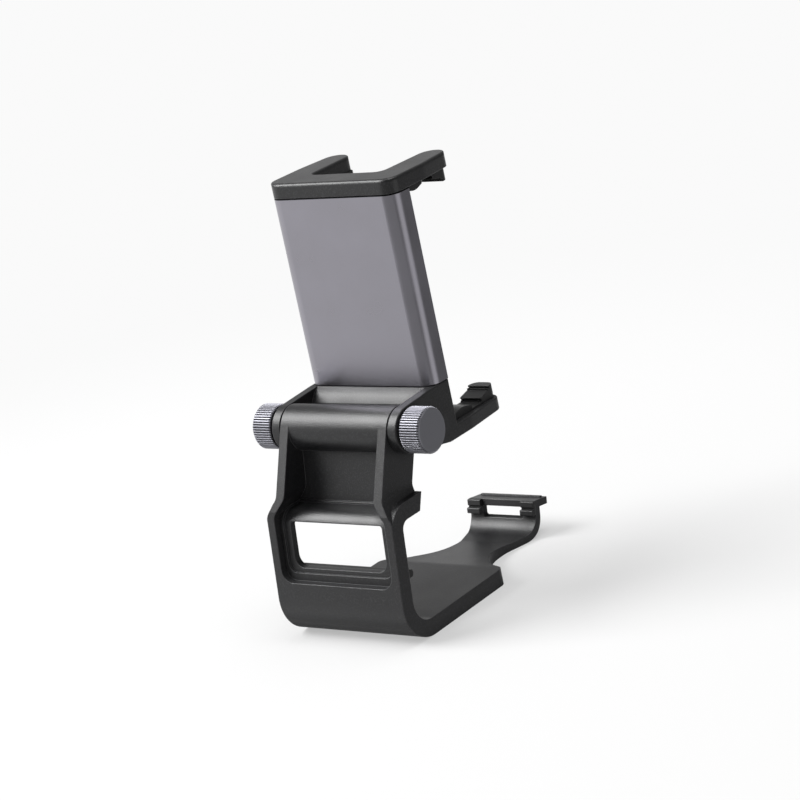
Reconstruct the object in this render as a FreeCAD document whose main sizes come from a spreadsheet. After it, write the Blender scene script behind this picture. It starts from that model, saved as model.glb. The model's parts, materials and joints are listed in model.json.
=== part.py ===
import FreeCAD, Part
import math
import os
import Sketcher

# A clip that carries a phone above a game controller. A bent base strip hooks round the controller,
# a neck rises from its near wall, and a sprung phone holder tilts on a barrel between two thumb knobs.
# Millimetres. X runs along the hinge axis, Y points to the player, Z is up.
# The origin lies on the underside of the base strip, right below the hinge axis.

DRIVING_SIZES = [
    ("hinge_height", 57.7, "table to hinge axis"),
    ("clip_width", 44.2, "base strip and phone holder, side to side"),
    ("wall_thick", 4.9, "base strip and near wall"),
    ("wall_lean", 6.4, "near wall leans to the player, degrees"),
    ("wall_foot", 20.6, "outer wall line meets the table this far behind the axis"),
    ("heel_radius", 6.8, "inside of the bend between plate and wall"),
    ("cradle_height", 35.0, "underside of the curled lip above the table"),
    ("curl_radius", 2.8, "inside of the bend between wall and lip"),
    ("plate_back", 33.2, "full width plate ends this far behind the hook"),
    ("plate_corner", 3.0, "rounding of the two far plate corners"),
    ("plate_bow", 2.2, "the far plate edge runs out this much more toward the arm"),
    ("plate_bow_width", 33.0, "that edge turns to the waist here"),
    ("plate_bow_radius", 8.0, "sweep of that turn"),
    ("waist_back", 21.7, "the sides of the plate have drawn together this far behind the hook"),
    ("waist_width", 17.0, "narrowest width of the hook arm"),
    ("waist_radius", 14.0, "sweep of the waist"),
    ("waist_length", 9.0, "straight part of the hook arm"),
    ("arm_thick", 2.2, "hook arm and hook wall"),
    ("arm_length", 10.2, "the plate has thinned to the arm this far behind the hook"),
    ("hook_reach", 61.2, "inner foot of the hook"),
    ("hook_radius", 5.5, "inside bend of the hook"),
    ("hook_lean", 9.0, "hook wall leans outward, degrees"),
    ("hook_height", 11.2, "inner top edge of the hook"),
    ("hook_width", 24.0, "hook, side to side"),
    ("flange_reach", 6.3, "flange on top of the hook"),
    ("flange_thick", 2.1, "flange on top of the hook"),
    ("slot_width", 14.8, "slot under the flange"),
    ("slot_foot", 5.7, "lower edge of that slot"),
    ("slot_top", 9.2, "upper edge of that slot"),
    ("flange_rib_width", 1.3, "raised rib along the back of the flange"),
    ("flange_rib_height", 0.45, "raised rib along the back of the flange"),
    ("flange_rib_length", 21.6, "raised rib along the back of the flange"),
    ("neck_lean", 24.7, "neck leans to the player, degrees"),
    ("ear_thick", 2.9, "ears beside the barrel"),
    ("rib_width", 2.9, "side ribs of the neck"),
    ("shoulder_top", 41.5, "neck starts to widen here"),
    ("shoulder_foot", 36.4, "neck has the width of the strip here"),
    ("frame_width", 2.5, "frame left beside the window recess"),
    ("recess_foot", 17.6, "lower edge of the window recess"),
    ("recess_radius", 3.8, "lower corners of the window recess"),
    ("web_thick", 2.1, "thin wall inside the recess"),
    ("panel_foot", 4.5, "rear panel of the neck, foot behind the axis"),
    ("panel_lean", 10.0, "rear panel of the neck leans, degrees"),
    ("window_width", 32.6, "window in the near wall"),
    ("window_foot", 21.1, "lower edge of the window"),
    ("window_top", 34.4, "upper edge of the window"),
    ("window_radius", 3.2, "corners of the window"),
    ("bead_width", 0.9, "raised bead round the window"),
    ("bead_height", 0.6, "raised bead round the window"),
    ("bead_side", 0.3, "floor left beside the bead"),
    ("bead_foot", 1.3, "floor left below the bead"),
    ("ledge", 0.6, "small step at the foot of the rear panel"),
    ("barrel_radius", 6.6, "hinge barrel and ears"),
    ("insert_radius", 3.4, "threaded insert in the barrel"),
    ("insert_length", 8.5, "threaded insert in the barrel"),
    ("stud_radius", 1.95, "screw stud of the knob"),
    ("thread_clear", 0.05, "stud in its insert, radial"),
    ("pivot_clear", 0.1, "stud in ear and washers, radial"),
    ("friction_thick", 0.3, "friction washer between barrel and ear"),
    ("friction_radius", 5.6, "friction washer between barrel and ear"),
    ("side_clear", 0.1, "free play beside the washers"),
    ("spacer_thick", 0.7, "spacer washer under the knob"),
    ("spacer_radius", 5.2, "spacer washer under the knob"),
    ("knob_radius", 6.5, "thumb knob"),
    ("knob_length", 6.7, "thumb knob"),
    ("knob_chamfer", 0.6, "outer rim of the knob"),
    ("knob_heel", 0.3, "inner rim of the knob"),
    ("knurl_depth", 0.5, "straight knurl"),
    ("knurl_width", 0.56, "straight knurl"),
    ("knurl_count", 54, "straight knurl"),
    ("stud_grip", 5.0, "stud inside the knob"),
    ("shell_back", 13.45, "axis to the back of the metal shell"),
    ("shell_depth", 7.55, "metal shell, back to front"),
    ("shell_wall", 1.4, "metal shell"),
    ("shell_radius", 4.1, "rounded rear corners of the shell"),
    ("shell_foot", 7.3, "lower edge of the shell above the axis"),
    ("shell_length", 55.6, "metal shell, foot to top"),
    ("web_back", 9.6, "axis to the lower jaw web"),
    ("web_top", 3.6, "the web curves away from here, above the axis"),
    ("web_shoulder", 5.95, "middle of that curve, above the axis"),
    ("web_curve", 8.0, "radius of that curve"),
    ("web_bevel", 3.7, "sloped lower edge of the web"),
    ("jaw_floor", 10.0, "underside of the lower jaw below the axis"),
    ("heel_slope", 11.0, "underside slopes up to the ear, degrees"),
    ("lower_arm_thick", 3.8, "arms of the lower jaw"),
    ("lower_arm_reach", 45.4, "tips of the lower arms from the axis"),
    ("arm_width", 9.4, "arms of both jaws"),
    ("arm_taper", 1.4, "outer side of an arm draws in by this much"),
    ("arm_tip_radius", 3.9, "rounded arm tips"),
    ("jaw_clear", 0.05, "upper jaw resting on the shell"),
    ("band_height", 4.4, "upper jaw above the shell"),
    ("upper_arm_reach", 43.4, "tips of the upper arms from the axis"),
    ("arm_root_radius", 2.5, "inner corners of the upper jaw"),
    ("band_round", 0.5, "rounded upper edge of the upper jaw"),
    ("cover_thick", 1.0, "front cover"),
    ("cover_clear", 0.1, "cover and guides inside the shell"),
    ("pad_face", 1.0, "rubber face pad"),
    ("pad_margin", 1.6, "border beside the face pad"),
    ("pad_end_margin", 2.2, "border above and below the face pad"),
    ("rail_width", 2.9, "guide rails for the slide"),
    ("rail_top", 3.0, "rails end this far below the shell top"),
    ("rail_foot", 6.2, "height of the guide foot"),
    ("rail_lip", 0.5, "rail thickens above the stop by this much"),
    ("slide_clear", 0.25, "slide between the rails"),
    ("slide_play", 0.15, "slide between shell and cover"),
    ("slide_wall", 0.9, "front and back walls of the slide box"),
    ("slide_side", 1.3, "side walls of the slide box"),
    ("slide_foot", 15.0, "lower edge of the slide above the axis"),
    ("slide_flange", 3.0, "stop flange at the foot of the slide"),
    ("slide_socket", 3.4, "slide reaches this far into the upper jaw"),
    ("slide_head", 6.0, "solid head of the slide"),
    ("jaw_travel", 24.0, "the upper jaw lifts by this much"),
    ("stop_play", 0.4, "free play left at the end of that lift"),
    ("spring_place", 8.5, "springs lie this far from the middle"),
    ("spring_radius", 1.3, "outer radius of a spring"),
    ("spring_wire", 0.4, "wire of a spring"),
    ("hook_gap", 1.3, "spring body ends this far from its pin"),
    ("pin_radius", 0.5, "spring pins"),
    ("pin_fit", 0.03, "spring pins in their holes, radial"),
    ("pin_foot", 17.6, "lower spring pin above the axis"),
    ("pin_head", 57.6, "upper spring pin above the axis"),
    ("pin_reach", 11.0, "half length of the lower spring pin"),
    ("post_width", 11.0, "post that carries the lower pin"),
    ("post_thick", 2.7, "post that carries the lower pin"),
    ("post_over", 1.6, "post stands this far above the pin"),
    ("screw_radius", 0.6, "cover screws"),
    ("screw_head", 1.15, "cover screw heads"),
    ("screw_length", 4.2, "cover screws"),
    ("screw_low", 6.5, "lower cover screws above the shell foot"),
    ("screw_high", 8.5, "upper cover screws below the shell top"),
    ("jaw_screw_radius", 0.8, "screws through the upper jaw"),
    ("jaw_screw_head", 1.5, "heads of those screws"),
    ("jaw_screw_sink", 1.0, "depth of those heads"),
    ("jaw_screw_inset", 2.7, "those screws stand in from the arms by this much"),
    ("pad_width", 7.3, "rubber pads on the arms"),
    ("pad_inset", 2.4, "pads stand in from the outer side of the arm"),
    ("pad_low", 0.6, "flat part of an arm pad"),
    ("pad_bump", 2.8, "low bump of an arm pad"),
    ("pad_bump_end", 1.6, "height of that bump at its two ends"),
    ("pad_bump_place", 13.3, "that bump ends this far from the arm tip"),
    ("pad_tip", 0.9, "pad ends this far from the arm tip"),
    ("pad_tip_radius", 2.4, "rounded end of the pad"),
    ("pad_cap", 3.9, "cap of an arm pad"),
    ("pad_cap_length", 3.0, "cap, along the arm"),
    ("pad_bar", 3.2, "small bar in front of the cap"),
    ("pad_bar_length", 0.7, "that bar, along the arm"),
    ("pad_slope_top", 2.75, "top of the slanted face"),
    ("pad_slope_foot", 1.9, "foot of the slanted face"),
    ("pad_slope_length", 4.1, "slanted face, along the arm"),
    ("pad_groove", 0.4, "grooves across the pad, depth"),
    ("pad_groove_foot", 0.95, "lower groove, above the arm"),
    ("pad_groove_top", 1.6, "lower groove, above the arm"),
    ("pad_start", 0.6, "pad starts this far in front of the face pad"),
    ("grip_lower", 1.8, "lower bar of a hook grip stands this far in"),
    ("grip_upper", 1.2, "upper bar of a hook grip stands this far in"),
    ("grip_notch", 0.5, "notch between those bars"),
    ("grip_foot", 7.1, "lower edge of a hook grip"),
    ("grip_bar", 1.7, "height of its lower bar"),
    ("grip_round", 0.35, "rounded edges of the bars"),
    ("edge_round", 0.4, "rounded side edges of the lower jaw"),
    ("wall_pad_height", 2.1, "rubber strip on the near wall"),
    ("wall_pad_proud", 2.5, "rubber strip on the near wall"),
    ("wall_pad_foot", 18.9, "lower edge of that strip"),
    ("wall_pad_inset", 0.6, "strip ends this far inside the wall edge"),
]

document = FreeCAD.newDocument("phone_clip")
sheet = document.addObject("Spreadsheet::Sheet", "Sizes")


class Size:
    """A number that also carries the sheet formula it comes from."""

    def __init__(self, value, text):
        self.value = value
        self.text = text

    def __add__(self, other):
        other = as_size(other)
        return Size(self.value + other.value, f"({self.text} + {other.text})")

    def __sub__(self, other):
        other = as_size(other)
        return Size(self.value - other.value, f"({self.text} - {other.text})")

    def __mul__(self, other):
        other = as_size(other)
        return Size(self.value * other.value, f"({self.text} * {other.text})")

    def __truediv__(self, other):
        other = as_size(other)
        return Size(self.value / other.value, f"({self.text} / {other.text})")

    def __neg__(self):
        return Size(-self.value, f"(0 - {self.text})")

    def __radd__(self, other):
        return as_size(other) + self

    def __rsub__(self, other):
        return as_size(other) - self

    def __rmul__(self, other):
        return as_size(other) * self


def as_size(value):
    """A plain number becomes a size that nothing drives."""
    if isinstance(value, Size):
        return value
    return Size(value, repr(value))


def sine(angle):
    return Size(math.sin(math.radians(angle.value)), f"sin({angle.text} * 1 deg)")


def cosine(angle):
    return Size(math.cos(math.radians(angle.value)), f"cos({angle.text} * 1 deg)")


def tangent(angle):
    return Size(math.tan(math.radians(angle.value)), f"tan({angle.text} * 1 deg)")


def fill_sheet():
    """One row for each driving size: its name, its value and what it means."""
    sizes = {}
    for row, (name, value, meaning) in enumerate(DRIVING_SIZES, start=1):
        sheet.set(f"A{row}", name)
        sheet.set(f"B{row}", str(value))
        sheet.set(f"C{row}", meaning)
        sheet.setAlias(f"B{row}", name)
        sizes[name] = Size(float(value), f"Sizes.{name}")
    document.recompute()
    return sizes


size = fill_sheet()
PLANES = {"side": "YZ_Plane", "front": "XZ_Plane", "top": "XY_Plane"}
RIGHT = 1
LEFT = -1
SIDES = {"right": RIGHT, "left": LEFT}


def new_body(label):
    body = document.addObject("PartDesign::Body", label)
    body.Label = label
    body.AllowCompound = True
    return body


def new_sketch(body, plane, across=None, up=None, out=None, lean=None):
    """A sketch on an origin plane of its body, moved by sizes from the sheet."""
    sketch = body.newObject("Sketcher::SketchObject", f"{body.Label}_{plane}")
    planes = [item for item in body.Origin.OriginFeatures if item.Role == PLANES[plane]]
    sketch.AttachmentSupport = [(planes[0], "")]
    sketch.MapMode = "FlatFace"
    if lean is not None:
        turn = FreeCAD.Rotation(FreeCAD.Vector(-1, 0, 0), lean.value)
        sketch.AttachmentOffset = FreeCAD.Placement(FreeCAD.Vector(), turn)
        sketch.setExpression("AttachmentOffset.Rotation.Angle", lean.text)
    for axis, shift in (("x", across), ("y", up), ("z", out)):
        if shift is not None:
            sketch.setExpression(f"AttachmentOffset.Base.{axis}", as_size(shift).text)
    return sketch


def bind(sketch, constraint, value):
    """Add a constraint whose value follows the sheet."""
    index = sketch.addConstraint(constraint)
    sketch.setExpression(f"Constraints[{index}]", value.text)


def bind_point(sketch, item, end, across, up):
    bind(sketch, Sketcher.Constraint("DistanceX", -1, 1, item, end, across.value), across)
    bind(sketch, Sketcher.Constraint("DistanceY", -1, 1, item, end, up.value), up)


def draw_outline(sketch, corners):
    """A closed outline of straight lines. A corner is (across, up) or (across, up, rounding)."""
    points = []
    for corner in corners:
        points.append(FreeCAD.Vector(as_size(corner[0]).value, as_size(corner[1]).value, 0))
    count = len(corners)
    starts = []
    ends = []
    arcs = []
    for index, corner in enumerate(corners):
        here = points[index]
        to_last = (points[index - 1] - here).normalize()
        to_next = (points[(index + 1) % count] - here).normalize()
        if len(corner) == 2:
            starts.append(here)
            ends.append(here)
            arcs.append(None)
            continue
        radius = as_size(corner[2]).value
        half_angle = to_last.getAngle(to_next) / 2
        reach = radius / math.tan(half_angle)
        middle = here + (to_last + to_next).normalize() * (radius / math.sin(half_angle))
        ends.append(here + to_last * reach)
        starts.append(here + to_next * reach)
        turns_left = to_last.cross(to_next).z < 0
        arcs.append((middle, radius, turns_left))
    first = sketch.GeometryCount
    for index in range(count):
        line = Part.LineSegment(starts[index], ends[(index + 1) % count])
        sketch.addGeometry(line, False)
    for index, corner in enumerate(corners):
        line_in = first + (index - 1) % count
        line_out = first + index
        if arcs[index] is None:
            sketch.addConstraint(Sketcher.Constraint("Coincident", line_in, 2, line_out, 1))
            bind_point(sketch, line_out, 1, as_size(corner[0]), as_size(corner[1]))
            continue
        arc_ends = (ends[index], starts[index])
        draw_corner(sketch, corner, points[index], arcs[index], arc_ends, (line_in, line_out))


def draw_corner(sketch, corner, point, arc, arc_ends, lines):
    """A rounded corner: the arc touches both lines, and the lines meet in a bound point."""
    middle, radius, turns_left = arc
    line_in, line_out = lines
    first, last = arc_ends if turns_left else reversed(arc_ends)
    first_angle = math.atan2(first.y - middle.y, first.x - middle.x)
    last_angle = math.atan2(last.y - middle.y, last.x - middle.x)
    circle = Part.Circle(middle, FreeCAD.Vector(0, 0, 1), radius)
    bend = sketch.addGeometry(Part.ArcOfCircle(circle, first_angle, last_angle), False)
    mark = sketch.addGeometry(Part.Point(point), True)
    bind_point(sketch, mark, 1, as_size(corner[0]), as_size(corner[1]))
    sketch.addConstraint(Sketcher.Constraint("PointOnObject", mark, 1, line_in))
    sketch.addConstraint(Sketcher.Constraint("PointOnObject", mark, 1, line_out))
    sketch.addConstraint(Sketcher.Constraint("Tangent", line_in, 2, bend, 1 if turns_left else 2))
    sketch.addConstraint(Sketcher.Constraint("Tangent", bend, 2 if turns_left else 1, line_out, 1))
    bind(sketch, Sketcher.Constraint("Radius", bend, radius), as_size(corner[2]))


def draw_circle(sketch, across, up, radius):
    across = as_size(across)
    up = as_size(up)
    centre = FreeCAD.Vector(across.value, up.value, 0)
    circle = sketch.addGeometry(Part.Circle(centre, FreeCAD.Vector(0, 0, 1), radius.value), False)
    bind_point(sketch, circle, 3, across, up)
    bind(sketch, Sketcher.Constraint("Radius", circle, radius.value), radius)


def box_corners(low_across, low_up, high_across, high_up, radius=None):
    corners = [(low_across, low_up), (high_across, low_up), (high_across, high_up), (low_across, high_up)]
    if radius is None:
        return corners
    return [corner + (radius,) for corner in corners]


def mirrored(corners):
    """The same corners on the other side of the upright axis, in the opposite order."""
    return [(-as_size(corner[0]),) + corner[1:] for corner in reversed(corners)]


def sided(corners, side):
    return corners if side == RIGHT else mirrored(corners)


def extrude(kind, body, sketch, length, way):
    """A pad or pocket: both ways from the sketch, along its normal or against it."""
    feature = body.newObject(f"PartDesign::{kind}", f"{body.Label}_{kind.lower()}")
    feature.Profile = sketch
    feature.SideType = "Symmetric" if way == "both" else "One side"
    runs_along = kind == "Pad"
    feature.Reversed = (way == "along") != runs_along and way != "both"
    feature.setExpression("Length", as_size(length).text)
    document.recompute()
    return feature


def pad(body, sketch, length, way="both"):
    return extrude("Pad", body, sketch, length, way)


def pocket(body, sketch, length, way="both"):
    """Cut the sketch out of the body, and stop if nothing came off."""
    before = body.Shape.Volume
    feature = extrude("Pocket", body, sketch, length, way)
    if body.Shape.Volume >= before:
        raise ValueError(f"{feature.Name} cuts nothing")
    return feature


def turn(kind, body, sketch):
    """A full turn of the sketch round its own level axis."""
    feature = body.newObject(f"PartDesign::{kind}", f"{body.Label}_{kind.lower()}")
    feature.Profile = sketch
    feature.ReferenceAxis = (sketch, ["H_Axis"])
    feature.Angle = 360
    document.recompute()
    return feature


def edge_names(shape, wanted):
    """Names of the edges whose middle point passes the test."""
    names = []
    for number, edge in enumerate(shape.Edges, start=1):
        middle = edge.valueAt((edge.FirstParameter + edge.LastParameter) / 2)
        if wanted(edge, middle):
            names.append(f"Edge{number}")
    return names


def round_edges(body, radius, wanted, kind="Fillet"):
    """Round or bevel the edges that pass the test."""
    base = body.Tip
    names = edge_names(base.Shape, wanted)
    feature = body.newObject(f"PartDesign::{kind}", f"{body.Label}_{kind.lower()}")
    feature.Base = (base, names)
    feature.setExpression("Radius" if kind == "Fillet" else "Size", as_size(radius).text)
    document.recompute()
    return feature


def near(first, second, margin=0.02):
    return abs(first - second) < margin


# Places shared by several pieces

AXIS_UP = size["hinge_height"]
CLIP_HALF = size["clip_width"] / 2
EAR_IN = CLIP_HALF - size["ear_thick"]
NECK_HALF = EAR_IN - size["side_clear"] - size["friction_thick"]
LIP_TOP = size["cradle_height"] + size["wall_thick"]
PLATE_REACH = size["hook_reach"] - size["plate_back"]
SPACER_IN = CLIP_HALF + size["side_clear"] / 2
KNOB_IN = SPACER_IN + size["spacer_thick"] + size["side_clear"] / 2
KNOB_OUT = KNOB_IN + size["knob_length"]
PIVOT_BORE = size["stud_radius"] + size["pivot_clear"]
INSERT_BORE = size["stud_radius"] + size["thread_clear"]
SHELL_FRONT = size["shell_back"] + size["shell_depth"]
SHELL_TOP = size["shell_foot"] + size["shell_length"]
COVER_BACK = SHELL_FRONT - size["cover_thick"]
FACE_FRONT = SHELL_FRONT + size["pad_face"]
CAVITY_BACK = size["shell_back"] + size["shell_wall"]
CAVITY_HALF = CLIP_HALF - size["shell_wall"]
GUIDE_HALF = CAVITY_HALF - size["cover_clear"]
RAIL_IN = GUIDE_HALF - size["rail_width"]
SLIDE_BACK = CAVITY_BACK + size["slide_play"]
SLIDE_FRONT = COVER_BACK - size["slide_play"]
FLANGE_HALF = RAIL_IN - size["slide_clear"]
SLIDE_HALF = FLANGE_HALF - size["rail_lip"]
SLIDE_MIDDLE = (SLIDE_BACK + SLIDE_FRONT) / 2
BAND_FOOT = SHELL_TOP + size["jaw_clear"]
BAND_TOP = BAND_FOOT + size["band_height"]
LOWER_ARM_TOP = size["lower_arm_thick"] - size["jaw_floor"]
ARM_IN = CLIP_HALF - size["arm_width"]
OVERSHOOT = size["hook_radius"]
THROUGH = (size["wall_foot"] + size["hook_reach"] + size["flange_reach"]) * 2


def wall_line(height, depth=0):
    """Y of a plane in the near wall, this deep below its outer face."""
    depth = as_size(depth) / cosine(size["wall_lean"])
    return depth - size["wall_foot"] + height * tangent(size["wall_lean"])


def neck_line(height, side):
    """Y of the neck's front (-1) or rear (1) plane, both tangent to the barrel."""
    reach = size["barrel_radius"] / cosine(size["neck_lean"])
    return reach * side + (height - AXIS_UP) * tangent(size["neck_lean"])


def panel_line(height):
    return (height - LIP_TOP) * tangent(size["panel_lean"]) - size["panel_foot"]


# Base bracket

def neck_corners():
    """Side view of the neck slab, from the barrel down into the wall and the lip."""
    lean = size["neck_lean"]
    radius = size["barrel_radius"]
    wall_tangent = tangent(size["wall_lean"])
    gap = AXIS_UP * tangent(lean) + radius / cosine(lean) - size["wall_foot"]
    bend = gap / (tangent(lean) - wall_tangent)
    root = size["window_top"] - size["web_thick"]
    mid_lip = LIP_TOP - size["wall_thick"] / 2
    mid_wall = size["wall_thick"] / 2
    return [
        (-(radius * cosine(lean)), AXIS_UP + radius * sine(lean)),
        (wall_line(bend), bend),
        (wall_line(root), root),
        (wall_line(root, mid_wall), root),
        (wall_line(mid_lip, mid_wall), mid_lip),
        (neck_line(mid_lip, 1), mid_lip),
        (radius * cosine(lean), AXIS_UP - radius * sine(lean)),
    ]


def strip_corners():
    """Side view of the base strip: lip, near wall, plate, arm and hook."""
    thick = size["wall_thick"]
    floor = size["cradle_height"]
    lean = size["hook_lean"]
    hook_top = size["hook_height"]
    rise = hook_top - size["arm_thick"]
    inner_top = size["hook_reach"] + rise * tangent(lean)
    wall_gap = size["arm_thick"] / cosine(lean)
    outer_foot = size["hook_reach"] - size["arm_thick"] * tangent(lean) + wall_gap
    under = hook_top - (size["flange_thick"] / cosine(lean)) - wall_gap * sine(lean)
    tip_top = inner_top + size["flange_reach"] * cosine(lean)
    tip_up = hook_top - size["flange_reach"] * sine(lean)
    return [
        (neck_line(LIP_TOP, 1), LIP_TOP),
        (wall_line(LIP_TOP), LIP_TOP, size["curl_radius"] + thick),
        (wall_line(as_size(0)), as_size(0), size["heel_radius"] + thick),
        (outer_foot, as_size(0), size["hook_radius"] + size["arm_thick"]),
        (outer_foot + under * tangent(lean), under),
        (tip_top - size["flange_thick"] * sine(lean), tip_up - size["flange_thick"] * cosine(lean)),
        (tip_top, tip_up),
        (inner_top, hook_top),
        (size["hook_reach"], size["arm_thick"], size["hook_radius"]),
        (size["hook_reach"] - size["arm_length"], size["arm_thick"], size["waist_radius"]),
        (PLATE_REACH, thick, size["waist_radius"]),
        (wall_line(thick, thick), thick, size["heel_radius"]),
        (wall_line(floor, thick), floor, size["curl_radius"]),
        (neck_line(floor, 1), floor),
    ]


def flange_rib_corners():
    """Side view of the rib on the back of the flange, square to it."""
    lean = size["hook_lean"]
    inner_top = size["hook_reach"] + (size["hook_height"] - size["arm_thick"]) * tangent(lean)

    def on_flange(along, above):
        across = inner_top + along * cosine(lean) + above * sine(lean)
        return (across, size["hook_height"] - along * sine(lean) + above * cosine(lean))

    back = size["flange_reach"] - size["flange_rib_width"] / 2
    front = back - size["flange_rib_width"]
    sunk = -size["flange_thick"] / 2
    top = size["flange_rib_height"]
    small = top / 2
    return [on_flange(front, sunk), on_flange(back, sunk), on_flange(back, top) + (small,),
            on_flange(front, top) + (small,)]


def plan_corners():
    """What comes off one side of the plate to leave the corner, the waist and the hook."""
    outside = CLIP_HALF + OVERSHOOT
    waist_half = size["waist_width"] / 2
    hook_half = size["hook_width"] / 2
    waist = size["hook_reach"] - size["waist_back"]
    beyond = size["hook_reach"] + size["flange_reach"] + OVERSHOOT
    return [
        (outside, PLATE_REACH - size["plate_corner"] * 2),
        (CLIP_HALF, PLATE_REACH - size["plate_corner"] * 2),
        (CLIP_HALF, PLATE_REACH, size["plate_corner"]),
        (size["plate_bow_width"] / 2, PLATE_REACH + size["plate_bow"], size["plate_bow_radius"]),
        (waist_half, waist, size["waist_radius"]),
        (waist_half, waist + size["waist_length"], size["waist_radius"]),
        (hook_half, size["hook_reach"], size["waist_radius"]),
        (hook_half, beyond),
        (outside, beyond),
    ]


def shoulder_corners():
    """What comes off one side of the neck above its shoulder."""
    outside = CLIP_HALF + OVERSHOOT
    above = AXIS_UP + OVERSHOOT * 2
    rounding = size["rib_width"]
    return [
        (NECK_HALF, size["shoulder_top"], rounding),
        (CLIP_HALF, size["shoulder_foot"], rounding),
        (CLIP_HALF, size["shoulder_foot"] - OVERSHOOT / 2),
        (outside, size["shoulder_foot"] - OVERSHOOT / 2),
        (outside, above),
        (NECK_HALF, above),
    ]


def keyhole_corners():
    """Front view of the hollow: narrow between the ribs, wider round the window."""
    rib_in = NECK_HALF - size["rib_width"]
    frame_in = CLIP_HALF - size["frame_width"]
    rounding = size["rib_width"]
    right = [
        (frame_in, size["recess_foot"], size["recess_radius"]),
        (frame_in, size["shoulder_foot"], rounding),
        (rib_in, size["shoulder_top"], rounding),
        (rib_in, AXIS_UP + size["barrel_radius"] * sine(size["neck_lean"])),
    ]
    return right + mirrored(right)


def web_corners(proud):
    """Side view of the thin wall inside the hollow, from below the window round the curl."""
    thick = size["wall_thick"]
    thin = size["web_thick"]
    floor = size["cradle_height"]
    root = size["recess_foot"] - thin
    front_depth = thick - thin - proud
    return [
        (wall_line(root, thick), root),
        (wall_line(root, front_depth), root),
        (wall_line(floor + thin + proud, front_depth), floor + thin + proud, size["curl_radius"] + thin),
        (panel_line(floor + thin), floor + thin + proud),
        (panel_line(floor + thin), floor),
        (wall_line(floor, thick), floor, size["curl_radius"]),
    ]


def panel_corners():
    """Side view of the rear panel of the neck, with a small step at its foot."""
    thin = size["web_thick"]
    floor = size["cradle_height"]
    foot = floor + thin
    step = size["ledge"]
    return [
        (panel_line(foot) - step, floor),
        (panel_line(foot) - step, foot + step, step / 2),
        (panel_line(foot + step), foot + step),
        (panel_line(AXIS_UP), AXIS_UP),
        (neck_line(AXIS_UP - thin * 2, 1), AXIS_UP - thin * 2),
        (neck_line(floor, 1), floor),
    ]


def bead_sides():
    """Half widths of the bead, outer and inner edge."""
    outer = CLIP_HALF - size["frame_width"] - size["bead_side"]
    return outer, outer - size["bead_width"]


def inside_bead_corners():
    """Front view of the floor inside the bead."""
    inner = bead_sides()[1]
    low = size["recess_foot"] + size["bead_foot"] + size["bead_width"]
    return box_corners(-inner, low, inner, LIP_TOP, size["recess_radius"] - size["bead_width"])


def make_base_bracket():
    body = new_body("base_bracket")
    width = size["clip_width"]

    neck = new_sketch(body, "side")
    draw_outline(neck, neck_corners())
    pad(body, neck, width)
    shoulders = new_sketch(body, "front")
    draw_outline(shoulders, shoulder_corners())
    draw_outline(shoulders, mirrored(shoulder_corners()))
    pocket(body, shoulders, THROUGH)

    strip = new_sketch(body, "side")
    draw_outline(strip, strip_corners())
    pad(body, strip, width)
    plan = new_sketch(body, "top")
    draw_outline(plan, plan_corners())
    draw_outline(plan, mirrored(plan_corners()))
    pocket(body, plan, LIP_TOP * 2)

    # The hollow goes right through, then a bead and a thin web are put back at its rear.
    keyhole = new_sketch(body, "front", out=-(size["barrel_radius"] + OVERSHOOT))
    draw_outline(keyhole, keyhole_corners())
    pocket(body, keyhole, THROUGH, "along")
    bead = new_sketch(body, "side")
    draw_outline(bead, web_corners(size["bead_height"]))
    pad(body, bead, bead_sides()[0] * 2)
    inside = new_sketch(body, "front", out=size["panel_foot"])
    draw_outline(inside, inside_bead_corners())
    pocket(body, inside, THROUGH, "along")
    web = new_sketch(body, "side")
    draw_outline(web, web_corners(as_size(0)))
    pad(body, web, (CLIP_HALF - size["side_clear"]) * 2)
    panel = new_sketch(body, "side")
    draw_outline(panel, panel_corners())
    pad(body, panel, (NECK_HALF - size["side_clear"]) * 2)
    barrel = new_sketch(body, "side")
    draw_circle(barrel, 0, AXIS_UP, size["barrel_radius"])
    pad(body, barrel, NECK_HALF * 2)

    half = size["window_width"] / 2
    window = new_sketch(body, "front")
    low = size["window_foot"]
    high = size["window_top"]
    small = size["window_radius"] / 3
    draw_outline(window, [(-half, low, size["window_radius"]), (half, low, size["window_radius"]),
                          (half, high, small), (-half, high, small)])
    pocket(body, window, THROUGH, "along")

    slot_half = size["slot_width"] / 2
    behind = size["hook_reach"] + OVERSHOOT
    slot = new_sketch(body, "front", out=-behind)
    rounding = size["arm_thick"] / 3
    draw_outline(slot, box_corners(-slot_half, size["slot_foot"], slot_half, size["slot_top"], rounding))
    pocket(body, slot, OVERSHOOT + size["hook_radius"], "along")

    rib = new_sketch(body, "side")
    draw_outline(rib, flange_rib_corners())
    pad(body, rib, size["flange_rib_length"])

    bore = new_sketch(body, "front", up=AXIS_UP)
    deep = NECK_HALF - size["insert_length"]
    draw_outline(bore, box_corners(deep, 0, NECK_HALF + OVERSHOOT, size["insert_radius"]))
    draw_outline(bore, box_corners(-(NECK_HALF + OVERSHOOT), 0, -deep, size["insert_radius"]))
    turn("Groove", body, bore)
    return body


def make_wall_pad():
    """A rubber strip across the inside of the near wall, below the window."""
    body = new_body("wall_pad")
    foot = size["wall_pad_foot"]
    top = foot + size["wall_pad_height"]
    face = size["wall_thick"] + size["wall_pad_proud"]
    strip = new_sketch(body, "side")
    draw_outline(strip, [
        (wall_line(foot, size["wall_thick"]), foot),
        (wall_line(foot, face), foot, size["wall_pad_proud"] / 3),
        (wall_line(top, face), top, size["wall_pad_proud"] / 3),
        (wall_line(top, size["wall_thick"]), top),
    ])
    pad(body, strip, size["clip_width"] - size["wall_pad_inset"] * 2)
    return body


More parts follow.
